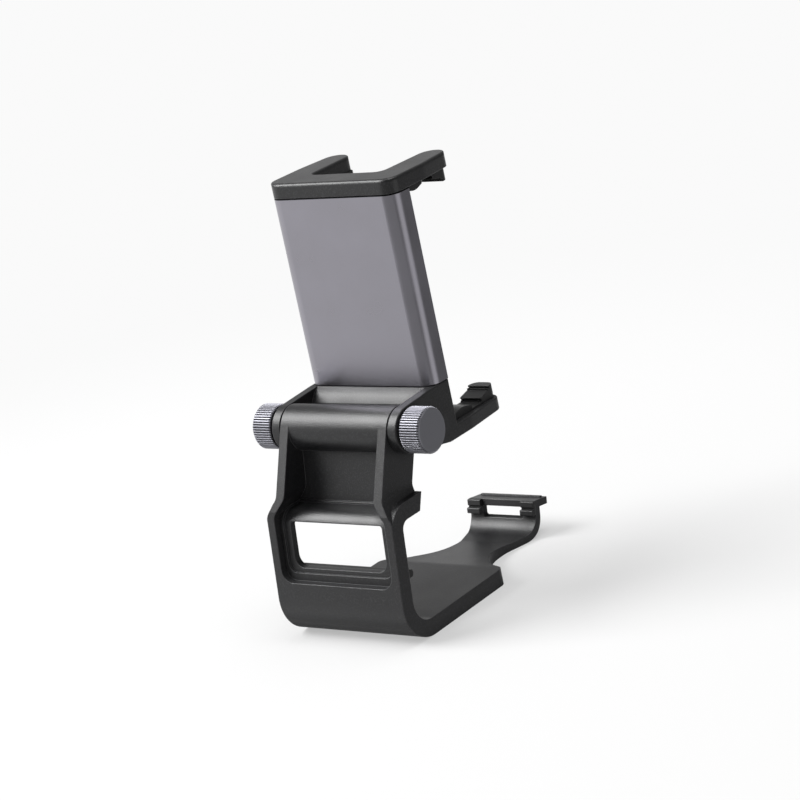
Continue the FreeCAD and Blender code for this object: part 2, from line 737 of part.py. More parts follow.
def make_hook_grip(name, side):
    """A stepped rubber grip on the inner face of the hook, beside its slot."""
    body = new_body(f"hook_grip_{name}")
    rounding = size["grip_round"]
    foot = size["grip_foot"]
    top = size["hook_height"]
    middle = foot + size["grip_bar"]

    def face(height, proud):
        slant = (height - size["arm_thick"]) * tangent(size["hook_lean"])
        return (size["hook_reach"] + slant - proud, height)

    inner = size["slot_width"] / 2
    outer = size["hook_width"] / 2
    profile = new_sketch(body, "side", out=(inner + outer) / 2 * side)
    draw_outline(profile, [
        face(foot, 0),
        face(foot, size["grip_lower"]) + (rounding,),
        face(middle, size["grip_lower"]) + (rounding,),
        face(middle, size["grip_upper"] - size["grip_notch"]),
        face(middle + size["grip_notch"], size["grip_upper"] - size["grip_notch"]),
        face(middle + size["grip_notch"], size["grip_upper"]) + (rounding,),
        face(top, size["grip_upper"]) + (rounding,),
        face(top, 0),
    ])
    pad(body, profile, outer - inner)
    return body


# Hinge hardware

def ring_body(label, inner, outer, start, end, side):
    """A ring or bush round the hinge axis, between two distances from the middle."""
    body = new_body(label)
    sketch = new_sketch(body, "front", up=AXIS_UP)
    draw_outline(sketch, sided(box_corners(start, inner, end, outer), side))
    turn("Revolution", body, sketch)
    return body


def make_hinge_hardware(name, side):
    """Insert, washers, stud and knob of one side."""
    gap = size["side_clear"] / 2
    insert_in = NECK_HALF - size["insert_length"]
    ring_body(f"insert_{name}", INSERT_BORE, size["insert_radius"], insert_in, NECK_HALF, side)
    ring_body(f"friction_washer_{name}", PIVOT_BORE, size["friction_radius"], NECK_HALF,
              NECK_HALF + size["friction_thick"], side)
    ring_body(f"spacer_washer_{name}", PIVOT_BORE, size["spacer_radius"], SPACER_IN,
              SPACER_IN + size["spacer_thick"], side)
    make_stud(name, side, insert_in + gap)
    make_knob(name, side)


def make_stud(name, side, start):
    body = new_body(f"stud_{name}")
    sketch = new_sketch(body, "front", up=AXIS_UP)
    end = KNOB_IN + size["stud_grip"]
    radius = size["stud_radius"]
    point = radius / 4
    corners = [(start, 0), (end, 0), (end, radius), (start + point, radius), (start, radius - point)]
    draw_outline(sketch, sided(corners, side))
    turn("Revolution", body, sketch)
    return body


def make_knob(name, side):
    """A turned knob with a bevelled rim, a blind bore and a straight knurl."""
    body = new_body(f"knob_{name}")
    sketch = new_sketch(body, "front", up=AXIS_UP)
    radius = size["knob_radius"]
    bevel = size["knob_chamfer"]
    heel = size["knob_heel"]
    bore_end = KNOB_IN + size["stud_grip"]
    corners = [
        (bore_end, 0),
        (KNOB_OUT, 0),
        (KNOB_OUT, radius - bevel),
        (KNOB_OUT - bevel, radius),
        (KNOB_IN + heel, radius),
        (KNOB_IN, radius - heel),
        (KNOB_IN, size["stud_radius"]),
        (bore_end, size["stud_radius"]),
    ]
    draw_outline(sketch, sided(corners, side))
    turn("Revolution", body, sketch)

    notch = new_sketch(body, "side", up=AXIS_UP, out=KNOB_IN * side)
    half = size["knurl_width"] / 2
    over = radius + size["knurl_depth"] / 4
    draw_outline(notch, [(half, over), (-half, over), (0, radius - size["knurl_depth"])])
    cut = pocket(body, notch, size["knob_length"], "along" if side == RIGHT else "against")
    axis = new_sketch(body, "front", up=AXIS_UP)
    ring = body.newObject("PartDesign::PolarPattern", f"{body.Label}_knurl")
    ring.Originals = [cut]
    ring.Axis = (axis, ["H_Axis"])
    ring.Angle = 360
    ring.setExpression("Occurrences", size["knurl_count"].text)
    body.Tip = ring
    document.recompute()
    return body


# Phone holder

def lower_jaw_corners():
    """Side view of ears and block, seen from the hinge axis."""
    radius = size["barrel_radius"]
    slope = size["heel_slope"]
    foot = -size["jaw_floor"]
    run = (size["jaw_floor"] - radius * cosine(slope)) / tangent(slope)
    bend = run - radius * sine(slope)
    return [
        (0, radius),
        (size["shell_back"], size["shell_foot"]),
        (SHELL_FRONT, size["shell_foot"]),
        (SHELL_FRONT, foot),
        (bend, foot, radius),
        (-(radius * sine(slope)), -(radius * cosine(slope))),
    ]


def arm_corners(root, reach):
    """Plan of one arm, from inside the block to its rounded tip."""
    taper_start = root + (reach - root) / 3
    radius = size["arm_tip_radius"]
    return [
        (ARM_IN, root),
        (CLIP_HALF, root),
        (CLIP_HALF, taper_start, radius * 4),
        (CLIP_HALF - size["arm_taper"], reach, radius),
        (ARM_IN + size["arm_taper"] / 4, reach, radius),
    ]


def make_lower_jaw():
    body = new_body("lower_jaw")
    width = size["clip_width"]
    block = new_sketch(body, "side", up=AXIS_UP)
    draw_outline(block, lower_jaw_corners())
    pad(body, block, width)
    ears = new_sketch(body, "side", up=AXIS_UP)
    draw_circle(ears, 0, 0, size["barrel_radius"])
    pad(body, ears, width)

    gap = new_sketch(body, "side", up=AXIS_UP)
    below = -(size["jaw_floor"] + OVERSHOOT)
    above = size["shell_foot"] + OVERSHOOT
    behind = -(size["barrel_radius"] + OVERSHOOT)
    bevel_top = size["web_bevel"] - size["jaw_floor"]
    draw_outline(gap, [
        (behind, below),
        (size["web_back"] + bevel_top - below, below),
        (size["web_back"], bevel_top),
        (size["web_back"], size["web_top"]),
        ((size["web_back"] + size["shell_back"]) / 2, size["web_shoulder"], size["web_curve"]),
        (size["shell_back"], size["shell_foot"]),
        (size["shell_back"], above),
        (behind, above),
    ])
    pocket(body, gap, EAR_IN * 2)
    bore = new_sketch(body, "side", up=AXIS_UP)
    draw_circle(bore, 0, 0, PIVOT_BORE)
    pocket(body, bore, width)

    arms = new_sketch(body, "top", out=AXIS_UP - size["jaw_floor"])
    corners = arm_corners(SHELL_FRONT - size["arm_width"] / 4, size["lower_arm_reach"])
    draw_outline(arms, corners)
    draw_outline(arms, mirrored(corners))
    pad(body, arms, size["lower_arm_thick"], "along")

    block_top = AXIS_UP.value + size["shell_foot"].value
    floor = AXIS_UP.value - size["jaw_floor"].value
    half = CLIP_HALF.value

    def on_side(edge, middle):
        under_shell = near(middle.z, block_top) and middle.y > size["shell_back"].value
        under_arm = near(middle.z, floor) and middle.y > SHELL_FRONT.value
        return near(abs(middle.x), half) and not under_shell and not under_arm

    round_edges(body, size["edge_round"], on_side)
    return body


def make_back_shell():
    """The bent metal shell: a back with two rounded corners and two sides."""
    body = new_body("back_shell")
    outer = size["shell_radius"]
    inner = outer - size["shell_wall"]
    section = new_sketch(body, "top", out=AXIS_UP + size["shell_foot"])
    right = [
        (CLIP_HALF, size["shell_back"], outer),
        (CLIP_HALF, SHELL_FRONT),
        (CAVITY_HALF, SHELL_FRONT),
        (CAVITY_HALF, CAVITY_BACK, inner),
    ]
    draw_outline(section, right + mirrored(right))
    pad(body, section, size["shell_length"], "along")
    foot = AXIS_UP.value + size["shell_foot"].value
    back = size["shell_back"].value
    half = CLIP_HALF.value
    bend = outer.value / 2

    def on_outer_rim(edge, middle):
        at_end = near(middle.z, foot) or near(middle.z, foot + size["shell_length"].value)
        at_side = near(abs(middle.x), half)
        at_back = near(middle.y, back)
        corner = abs(middle.x) > half - bend and middle.y < back + bend
        return at_end and (at_side or at_back or corner)

    round_edges(body, size["shell_wall"] / 5, on_outer_rim, "Chamfer")
    return body


def make_guide_frame():
    """Two rails on a foot inside the shell; they guide and stop the slide."""
    body = new_body("guide_frame")
    foot = size["shell_foot"] + size["cover_clear"]
    foot_top = foot + size["rail_foot"]
    rail_top = SHELL_TOP - size["rail_top"]
    stop_up = size["slide_foot"] + size["slide_flange"] + size["jaw_travel"] + size["stop_play"]
    outline = new_sketch(body, "front", up=AXIS_UP, out=-COVER_BACK)
    right = [
        (GUIDE_HALF, foot),
        (GUIDE_HALF, rail_top),
        (RAIL_IN - size["rail_lip"], rail_top),
        (RAIL_IN - size["rail_lip"], stop_up),
        (RAIL_IN, stop_up),
        (RAIL_IN, foot_top),
    ]
    draw_outline(outline, right + mirrored(right))
    pad(body, outline, COVER_BACK - CAVITY_BACK - size["cover_clear"], "along")

    post = new_sketch(body, "front", up=AXIS_UP, out=-SLIDE_MIDDLE)
    half = size["post_width"] / 2
    post_top = size["pin_foot"] + size["post_over"]
    draw_outline(post, box_corners(-half, foot_top - size["rail_lip"], half, post_top))
    pad(body, post, size["post_thick"])

    pin_hole = new_sketch(body, "side", up=AXIS_UP)
    draw_circle(pin_hole, SLIDE_MIDDLE, size["pin_foot"], size["pin_radius"] + size["pin_fit"])
    pocket(body, pin_hole, size["post_width"] + OVERSHOOT)
    holes = new_sketch(body, "front", up=AXIS_UP, out=-SHELL_FRONT)
    for across, up in cover_screw_places():
        draw_circle(holes, across, up, size["screw_radius"])
    pocket(body, holes, size["screw_length"] + size["screw_radius"] / 2, "along")

    corner = size["shell_radius"] - size["shell_wall"]
    back = CAVITY_BACK.value + size["cover_clear"].value
    half_width = GUIDE_HALF.value
    round_edges(body, corner, lambda edge, middle: near(abs(middle.x), half_width) and near(middle.y, back))
    return body


def cover_screw_places():
    """Where the four cover screws go, seen from the hinge axis."""
    across = GUIDE_HALF - size["rail_width"] / 2
    low = size["shell_foot"] + size["screw_low"]
    high = SHELL_TOP - size["screw_high"]
    return [(across, low), (-across, low), (across, high), (-across, high)]


def make_front_cover():
    body = new_body("front_cover")
    low = size["shell_foot"] + size["cover_clear"]
    high = SHELL_TOP - size["cover_clear"]
    outline = new_sketch(body, "front", up=AXIS_UP, out=-SHELL_FRONT)
    draw_outline(outline, box_corners(-GUIDE_HALF, low, GUIDE_HALF, high, size["shell_wall"]))
    pad(body, outline, size["cover_thick"], "along")
    heads = new_sketch(body, "front", up=AXIS_UP, out=-SHELL_FRONT)
    shanks = new_sketch(body, "front", up=AXIS_UP, out=-SHELL_FRONT)
    for across, up in cover_screw_places():
        draw_circle(heads, across, up, size["screw_head"])
        draw_circle(shanks, across, up, size["screw_radius"])
    pocket(body, heads, size["cover_thick"] / 2, "along")
    pocket(body, shanks, size["cover_thick"] * 2, "along")
    return body


def make_screws(label, places, front, head_deep, head_radius, shank_radius, length):
    """Screws that run away from the player, one solid each."""
    body = new_body(label)
    heads = new_sketch(body, "front", up=AXIS_UP, out=-front)
    shanks = new_sketch(body, "front", up=AXIS_UP, out=-front)
    for across, up in places:
        draw_circle(heads, across, up, head_radius)
        draw_circle(shanks, across, up, shank_radius)
    pad(body, heads, head_deep, "along")
    pad(body, shanks, length, "along")
    return body


def make_face_pad():
    """The rubber pad that the back of the phone rests on."""
    body = new_body("face_pad")
    margin = size["pad_margin"]
    half = CLIP_HALF - margin
    low = size["shell_foot"] + size["pad_end_margin"]
    high = SHELL_TOP - size["pad_end_margin"]
    outline = new_sketch(body, "front", up=AXIS_UP, out=-FACE_FRONT)
    draw_outline(outline, box_corners(-half, low, half, high, margin))
    pad(body, outline, size["pad_face"], "along")
    front = FACE_FRONT.value
    round_edges(body, size["pad_face"] / 3, lambda edge, middle: near(middle.y, front))
    return body


def pad_corners(reach, level, direction):
    """Side view of an arm pad: low bump, flat, grooved block with a slanted face, bar and cap."""
    start = FACE_FRONT + size["pad_start"]
    tip = reach - size["pad_tip"]
    cap = tip - size["pad_cap_length"]
    bar = cap - size["pad_bar_length"]
    block = bar - size["pad_slope_length"]
    bump_end = reach - size["pad_bump_place"]
    bump_length = bump_end - start
    bump_curve = bump_length * bump_length / ((size["pad_bump"] - size["pad_bump_end"]) * 8)
    groove = size["pad_groove"]
    small = groove / 2

    def place(along, height, *rounding):
        return (along, level + height * direction, *rounding)

    return [
        place(start, as_size(0)),
        place(start, size["pad_bump_end"], small),
        place(start + bump_length / 2, size["pad_bump"], bump_curve),
        place(bump_end, size["pad_bump_end"], small),
        place(bump_end, size["pad_low"]),
        place(block, size["pad_low"]),
        place(block, size["pad_groove_foot"]),
        place(block + groove, size["pad_groove_foot"]),
        place(block + groove, size["pad_groove_top"]),
        place(block, size["pad_groove_top"]),
        place(block, size["pad_slope_foot"]),
        place(bar, size["pad_slope_top"]),
        place(bar, size["pad_bar"]),
        place(cap + groove, size["pad_bar"]),
        place(cap + groove, size["pad_bar"] + small),
        place(cap, size["pad_bar"] + small),
        place(cap, size["pad_cap"], small),
        place(tip, size["pad_cap"]),
        place(tip, as_size(0)),
    ]


def make_arm_pad(label, side, profile_corners, reach):
    body = new_body(label)
    outer = CLIP_HALF - size["pad_inset"]
    middle = outer - size["pad_width"] / 2
    profile = new_sketch(body, "side", up=AXIS_UP, out=middle * side)
    draw_outline(profile, profile_corners)
    pad(body, profile, size["pad_width"])
    tip = (reach - size["pad_tip"]).value
    ends = (outer.value, (outer - size["pad_width"]).value)
    round_edges(body, size["pad_tip_radius"], lambda edge, middle: near(middle.y, tip)
                and any(near(abs(middle.x), end) for end in ends))
    return body


# Sprung upper jaw

def jaw_screw_places():
    up = BAND_FOOT + size["slide_socket"] / 2
    across = ARM_IN - size["jaw_screw_inset"]
    return [(across, up), (-across, up)]


def make_upper_jaw():
    """A band over the shell with two arms towards the player."""
    body = new_body("upper_jaw")
    reach = size["upper_arm_reach"]
    front = FACE_FRONT
    taper_start = front + (reach - front) / 3
    radius = size["arm_tip_radius"]
    outline = new_sketch(body, "top", out=AXIS_UP + BAND_FOOT)
    right = [
        (CLIP_HALF, size["shell_back"], size["shell_radius"]),
        (CLIP_HALF, taper_start, radius * 4),
        (CLIP_HALF - size["arm_taper"], reach, radius),
        (ARM_IN + size["arm_taper"] / 4, reach, radius),
        (ARM_IN, front, size["arm_root_radius"]),
    ]
    draw_outline(outline, right + mirrored(right))
    pad(body, outline, BAND_TOP - BAND_FOOT, "along")

    socket = new_sketch(body, "top", out=AXIS_UP + BAND_FOOT - OVERSHOOT)
    draw_outline(socket, box_corners(-SLIDE_HALF, SLIDE_BACK, SLIDE_HALF, SLIDE_FRONT))
    pocket(body, socket, OVERSHOOT + size["slide_socket"], "along")

    heads = new_sketch(body, "front", up=AXIS_UP, out=-front)
    shanks = new_sketch(body, "front", up=AXIS_UP, out=-front)
    for across, up in jaw_screw_places():
        draw_circle(heads, across, up, size["jaw_screw_head"])
        draw_circle(shanks, across, up, size["jaw_screw_radius"])
    pocket(body, heads, size["jaw_screw_sink"], "along")
    pocket(body, shanks, front - SLIDE_FRONT, "along")

    top = AXIS_UP.value + BAND_TOP.value
    root = size["arm_root_radius"].value

    def on_upper_rim(edge, middle):
        between_arms = abs(middle.x) < ARM_IN.value and near(middle.y, front.value, root)
        return near(middle.z, top) and not between_arms

    round_edges(body, size["band_round"], on_upper_rim)
    return body


def make_slide():
    """A flat box that hangs from the upper jaw; it runs between the rails and hides the springs."""
    body = new_body("slide")
    foot = size["slide_foot"]
    top = BAND_FOOT + size["slide_socket"]
    flange_top = foot + size["slide_flange"]
    outline = new_sketch(body, "front", up=AXIS_UP, out=-SLIDE_FRONT)
    right = [
        (FLANGE_HALF, foot),
        (FLANGE_HALF, flange_top),
        (SLIDE_HALF, flange_top),
        (SLIDE_HALF, top),
    ]
    draw_outline(outline, right + mirrored(right))
    pad(body, outline, SLIDE_FRONT - SLIDE_BACK, "along")
    hollow = new_sketch(body, "front", up=AXIS_UP, out=-(SLIDE_FRONT - size["slide_wall"]))
    half = SLIDE_HALF - size["slide_side"]
    ceiling = SHELL_TOP - size["slide_head"] + size["post_over"] * 2
    draw_outline(hollow, box_corners(-half, foot - OVERSHOOT, half, ceiling))
    pocket(body, hollow, SLIDE_FRONT - SLIDE_BACK - size["slide_wall"] * 2, "along")

    pin_hole = new_sketch(body, "side", up=AXIS_UP)
    draw_circle(pin_hole, SLIDE_MIDDLE, size["pin_head"], size["pin_radius"] + size["pin_fit"])
    pocket(body, pin_hole, size["clip_width"])
    holes = new_sketch(body, "front", up=AXIS_UP, out=-SLIDE_FRONT)
    for across, up in jaw_screw_places():
        draw_circle(holes, across, up, size["jaw_screw_radius"])
    pocket(body, holes, (SLIDE_FRONT - SLIDE_BACK) / 2, "along")
    return body


def make_pin(label, height, half_length):
    body = new_body(label)
    section = new_sketch(body, "side", up=AXIS_UP)
    draw_circle(section, SLIDE_MIDDLE, height, size["pin_radius"])
    pad(body, section, half_length * 2)
    return body


def make_spring(name, side):
    """An extension spring: a close coil between two end loops that hang on the pins."""
    body = new_body(f"spring_{name}")
    place = size["spring_place"] * side
    low = size["pin_foot"] + size["hook_gap"]
    high = size["pin_head"] - size["hook_gap"]
    coil = new_sketch(body, "top", out=AXIS_UP + low)
    draw_circle(coil, place, SLIDE_MIDDLE, size["spring_radius"])
    draw_circle(coil, place, SLIDE_MIDDLE, size["spring_radius"] - size["spring_wire"])
    pad(body, coil, high - low, "along")
    loops = new_sketch(body, "side", up=AXIS_UP, out=place)
    inner = size["pin_radius"] + size["spring_wire"] / 2
    outer = inner + size["spring_wire"]
    for height in (size["pin_foot"], size["pin_head"]):
        draw_circle(loops, SLIDE_MIDDLE, height, inner)
        draw_circle(loops, SLIDE_MIDDLE, height, outer)
    pad(body, loops, size["spring_wire"])
    legs = new_sketch(body, "side", up=AXIS_UP, out=place)
    leg_in = SLIDE_MIDDLE + size["spring_radius"] - size["spring_wire"]
    leg_out = SLIDE_MIDDLE + outer
    draw_outline(legs, box_corners(leg_in, size["pin_foot"], leg_out, low + size["spring_wire"]))
    draw_outline(legs, box_corners(leg_in, high - size["spring_wire"], leg_out, size["pin_head"]))
    pad(body, legs, size["spring_wire"])
    return body


def build():
    make_base_bracket()
    make_wall_pad()
    for name, side in SIDES.items():
        make_hook_grip(name, side)
        make_hinge_hardware(name, side)
    make_lower_jaw()
    make_back_shell()
    make_guide_frame()
    make_front_cover()
    make_face_pad()
    make_screws("cover_screws", cover_screw_places(), SHELL_FRONT, size["cover_thick"] / 2,
                size["screw_head"], size["screw_radius"], size["screw_length"])
    make_pin("spring_pin_lower", size["pin_foot"], size["pin_reach"])
    make_upper_jaw()
    make_slide()
    make_screws("jaw_screws", jaw_screw_places(), FACE_FRONT, size["jaw_screw_sink"],
                size["jaw_screw_head"], size["jaw_screw_radius"], FACE_FRONT - SLIDE_MIDDLE)
    make_pin("spring_pin_upper", size["pin_head"], SLIDE_HALF)
    lower_reach = size["lower_arm_reach"]
    upper_reach = size["upper_arm_reach"]
    lower_profile = pad_corners(lower_reach, LOWER_ARM_TOP, 1)
    upper_profile = pad_corners(upper_reach, BAND_FOOT, -1)
    for name, side in SIDES.items():
        make_spring(name, side)
        make_arm_pad(f"lower_pad_{name}", side, lower_profile, lower_reach)
        make_arm_pad(f"upper_pad_{name}", side, upper_profile, upper_reach)


def check_and_write():
    """Every object must be sound before any file is written."""
    document.recompute()
    for item in document.Objects:
        if "Invalid" in item.State or "Error" in item.State:
            raise ValueError(f"{item.Label} failed: {item.State}")
    os.makedirs("parts", exist_ok=True)
    bodies = [item for item in document.Objects if item.TypeId == "PartDesign::Body"]
    for body in bodies:
        if body.Shape.isNull() or not body.Shape.isValid():
            raise ValueError(f"{body.Label} has no sound shape")
    for body in bodies:
        body.Shape.exportStep(f"parts/{body.Label}.step")
        print(body.Label, len(body.Shape.Solids), round(body.Shape.Volume, 1))


build()
check_and_write()
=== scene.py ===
# %% [markdown]
# # A controller phone clip
#
# The solids of the clip come in as a fixed frame. This script adds the finish of each piece, a few finer
# pieces, a studio and a camera. Lengths are in metres, in the same frame as the solids: X along the hinge
# axis, Y towards the player, Z up.

# %% Load the frame
import json
import math
import bmesh
import bpy
from mathutils import Matrix, Vector
from types import SimpleNamespace


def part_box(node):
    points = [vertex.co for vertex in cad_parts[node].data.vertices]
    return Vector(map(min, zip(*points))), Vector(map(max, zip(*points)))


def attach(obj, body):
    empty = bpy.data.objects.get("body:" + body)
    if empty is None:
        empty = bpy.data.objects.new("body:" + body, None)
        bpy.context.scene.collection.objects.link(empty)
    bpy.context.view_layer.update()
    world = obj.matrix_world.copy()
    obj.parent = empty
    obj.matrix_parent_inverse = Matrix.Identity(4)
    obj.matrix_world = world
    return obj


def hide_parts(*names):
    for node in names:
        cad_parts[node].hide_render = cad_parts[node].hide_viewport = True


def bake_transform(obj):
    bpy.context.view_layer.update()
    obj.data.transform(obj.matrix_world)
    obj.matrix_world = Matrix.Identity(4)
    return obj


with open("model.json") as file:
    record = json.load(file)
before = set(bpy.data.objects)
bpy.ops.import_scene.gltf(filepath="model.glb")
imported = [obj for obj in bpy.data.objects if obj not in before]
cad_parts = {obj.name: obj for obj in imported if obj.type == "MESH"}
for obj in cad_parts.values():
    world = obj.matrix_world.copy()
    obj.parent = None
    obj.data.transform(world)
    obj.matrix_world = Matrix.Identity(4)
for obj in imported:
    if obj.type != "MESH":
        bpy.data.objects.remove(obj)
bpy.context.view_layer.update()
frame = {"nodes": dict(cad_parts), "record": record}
# One millimetre in metres.
MM = 0.001


print("nodes:", len(frame["nodes"]))

# %% [markdown]
# ## The camera
#
# The view was worked out by matching edges of the solids with edges in the photograph: the camera stands
# behind and to the right of the clip, a little above it, and is rolled to the left. A camera could also be
# aimed by hand. A fitted one is written down as three angles and one place, and keeps the main edges within
# a few pixels of where the photograph has them.

# %% The camera
PHOTO_WIDTH = 800
FOCAL_PIXELS = 2715.3
AZIMUTH = math.radians(39.338)
ELEVATION = math.radians(16.314)
ROLL = math.radians(-11.969)
SENSOR = 36.0
HINGE = Vector((0, 0, 57.7 * MM))
# Where the camera has the middle of the hinge axis: to its right, above it and behind it.
HINGE_IN_VIEW = Vector((-14.680, -7.779, -756.689)) * MM


def add_camera():
    """A camera that keeps the hinge axis where the photograph has it."""
    right = Vector((math.cos(AZIMUTH), math.sin(AZIMUTH), 0))
    ahead = Vector((-math.sin(AZIMUTH), math.cos(AZIMUTH), 0)) * math.cos(ELEVATION)
    ahead.z = -math.sin(ELEVATION)
    up = right.cross(ahead)
    rolled_right = right * math.cos(ROLL) + up * math.sin(ROLL)
    rolled_up = up * math.cos(ROLL) - right * math.sin(ROLL)
    turn = Matrix((rolled_right, rolled_up, -ahead)).transposed()
    data = bpy.data.cameras.new("photo_camera")
    data.sensor_width = SENSOR
    data.lens = FOCAL_PIXELS * SENSOR / PHOTO_WIDTH
    camera = bpy.data.objects.new("photo_camera", data)
    bpy.context.collection.objects.link(camera)
    place = HINGE - turn @ HINGE_IN_VIEW
    camera.matrix_world = Matrix.Translation(place) @ turn.to_4x4()
    bpy.context.scene.camera = camera
    return camera


camera = add_camera()
print("camera at", [round(number, 4) for number in camera.matrix_world.translation])

# %% [markdown]
# ## Colours and nodes
#
# Every material here is a tree of shader nodes. Colours are written as they look on a screen, in hex, and one
# function turns them to the linear numbers that light adds up in. Another adds a node with its settings and
# links, so that a tree reads like a list of steps.

# %% Colours and nodes


def linear(colour):
    """An sRGB hex colour as linear numbers, by the curve of the sRGB standard."""
    channels = [int(colour[start:start + 2], 16) / 255 for start in (1, 3, 5)]
    bent = [part / 12.92 if part <= 0.04045 else ((part + 0.055) / 1.055) ** 2.4 for part in channels]
    return (*bent, 1.0)


def add_node(tree, kind, inputs=None, **settings):
    """One shader node. An input is a plain value, a socket, or a node whose first output in use is taken."""
    made = tree.nodes.new(kind)
    for name, value in settings.items():
        setattr(made, name, value)
    for name, value in (inputs or {}).items():
        if isinstance(value, bpy.types.Node):
            value = next(output for output in value.outputs if output.enabled)
        if isinstance(value, bpy.types.NodeSocket):
            tree.links.new(value, made.inputs[name])
        else:
            made.inputs[name].default_value = value
    return made


def new_material(name):
    """An empty node material and its tree."""
    material = bpy.data.materials.new(name)
    material.use_nodes = True
    material.node_tree.nodes.clear()
    return material, material.node_tree


print("mid grey in linear numbers:", round(linear("#808080")[0], 3))

# %% [markdown]
# ## The floor
#
# In a studio the clip would stand on white paper that curves up behind it. Here a flat floor does, because it
# turns to even white with distance, where it meets the white surround. Near the clip it is lit like paper and
# takes the shadow.

# %% The floor
# How bright paper white is, where 1 would be the brightest white of the picture.
WHITE = 0.955
FLOOR_HALF = 3.0
# How far from the middle the even white begins, and where it is full.
FLOOR_FADE = (0.16, 0.42)
FLOOR_SHADE = "#d0d0d0"
# The share of even white in the lit paper near the clip, which thins its shadow.
FLOOR_GLOW = 0.45


def paper_floor():
    """Matt paper that takes shadows near the clip and is even white further out."""
    material, tree = new_material("pale studio floor")
    place = add_node(tree, "ShaderNodeTexCoord").outputs["Object"]
    distance = add_node(tree, "ShaderNodeVectorMath", {0: place}, operation="LENGTH")
    far_share = add_node(tree, "ShaderNodeMapRange", {
        "Value": distance, "From Min": FLOOR_FADE[0], "From Max": FLOOR_FADE[1],
    }, interpolation_type="SMOOTHSTEP")
    shaded = add_node(tree, "ShaderNodeBsdfDiffuse", {"Color": linear(FLOOR_SHADE)})
    far_part = add_node(tree, "ShaderNodeEmission", {"Color": linear("#ffffff"), "Strength": WHITE})
    near_part = add_node(tree, "ShaderNodeMixShader", {0: FLOOR_GLOW, 1: shaded, 2: far_part})
    whole = add_node(tree, "ShaderNodeMixShader", {0: far_share, 1: near_part, 2: far_part})
    add_node(tree, "ShaderNodeOutputMaterial", {"Surface": whole})
    return material


def add_floor():
    """One large square that isn't mirrored in the clip and isn't part of it."""
    mesh = bpy.data.meshes.new("floor")
    shape = bmesh.new()
    bmesh.ops.create_grid(shape, x_segments=1, y_segments=1, size=FLOOR_HALF)
    shape.to_mesh(mesh)
    shape.free()
    floor = bpy.data.objects.new("floor", mesh)
    bpy.context.collection.objects.link(floor)
    mesh.materials.append(paper_floor())
    floor.visible_glossy = False
    return floor


floor = add_floor()
print(floor.name, "is", FLOOR_HALF * 2, "m wide")

# %% [markdown]
# ## The surround
#
# What the clip mirrors gives its metal and its black plastic their form. Panels of real size would do, but
# each would have to be hidden from the camera. Here the world draws them: light panels round the clip, each
# given by its bearing and height in degrees, with soft borders and darkness between them. The camera sees
# white instead, and diffuse surfaces get an even fill.

# %% The surround
FILL_LIGHT = 0.38
STUDIO_DARK = 0.21
# Each panel has a name, its bearings, its heights, the softness of both borders, and its strength.
PANELS = [
    ("left", (-150, -33), (-44, 12), (3, 9), 0.86),
    ("middle", (-33, 58), (-50, 12), (5, 9), 0.21),
    ("right", (74, 114), (-50, 14), (7, 9), 0.72),
    ("behind", (-180, -110), (12, 48), (8, 8), 0.21),
    ("front right", (160, 200), (-60, -8), (8, 9), 0.45),
    ("front left", (-200, -128), (-60, -8), (8, 9), 0.45),
]


def band(tree, value, low, high, soft):
    """One between the two limits and zero beyond them."""
    rise = add_node(tree, "ShaderNodeMapRange", {
        "Value": value, "From Min": low - soft, "From Max": low + soft,
    }, interpolation_type="SMOOTHSTEP")
    fall = add_node(tree, "ShaderNodeMapRange", {
        "Value": value, "From Min": high + soft, "From Max": high - soft,
    }, interpolation_type="SMOOTHSTEP")
    return add_node(tree, "ShaderNodeMath", {0: rise, 1: fall}, operation="MULTIPLY")


def panel_light(tree):
    """How bright the studio is in the direction that is looked at."""
    way = add_node(tree, "ShaderNodeTexCoord").outputs["Generated"]
    parts = add_node(tree, "ShaderNodeSeparateXYZ", {0: way}).outputs
    towards = add_node(tree, "ShaderNodeMath", {0: parts["Y"], 1: -1}, operation="MULTIPLY")
    turned = add_node(tree, "ShaderNodeMath", {0: parts["X"], 1: towards}, operation="ARCTAN2")
    raised = add_node(tree, "ShaderNodeMath", {0: parts["Z"]}, operation="ARCSINE")
    bearing = add_node(tree, "ShaderNodeMath", {0: turned}, operation="DEGREES")
    height = add_node(tree, "ShaderNodeMath", {0: raised}, operation="DEGREES")
    light = STUDIO_DARK
    for _, bearings, heights, (side_soft, top_soft), strength in PANELS:
        across = band(tree, bearing, *bearings, side_soft)
        upright = band(tree, height, *heights, top_soft)
        panel = add_node(tree, "ShaderNodeMath", {0: across, 1: upright}, operation="MULTIPLY")
        light = add_node(tree, "ShaderNodeMath", {0: panel, 1: strength, 2: light}, operation="MULTIPLY_ADD")
    return light


def light_surround():
    """White where the camera sees it, an even fill as light, and soft panels where surfaces mirror it."""
    world = bpy.data.worlds.new("surround")
    bpy.context.scene.world = world
    world.use_nodes = True
    tree = world.node_tree
    tree.nodes.clear()
    paper = linear("#ffffff")
    path = add_node(tree, "ShaderNodeLightPath").outputs
    fill = add_node(tree, "ShaderNodeBackground", {"Color": paper, "Strength": FILL_LIGHT})
    studio = add_node(tree, "ShaderNodeBackground", {"Color": paper, "Strength": panel_light(tree)})
    bright = add_node(tree, "ShaderNodeBackground", {"Color": paper, "Strength": WHITE})
    light = add_node(tree, "ShaderNodeMixShader", {0: path["Is Glossy Ray"], 1: fill, 2: studio})
    whole = add_node(tree, "ShaderNodeMixShader", {0: path["Is Camera Ray"], 1: light, 2: bright})
    add_node(tree, "ShaderNodeOutputWorld", {"Surface": whole})


light_surround()
print("panels:", [panel[0] for panel in PANELS])

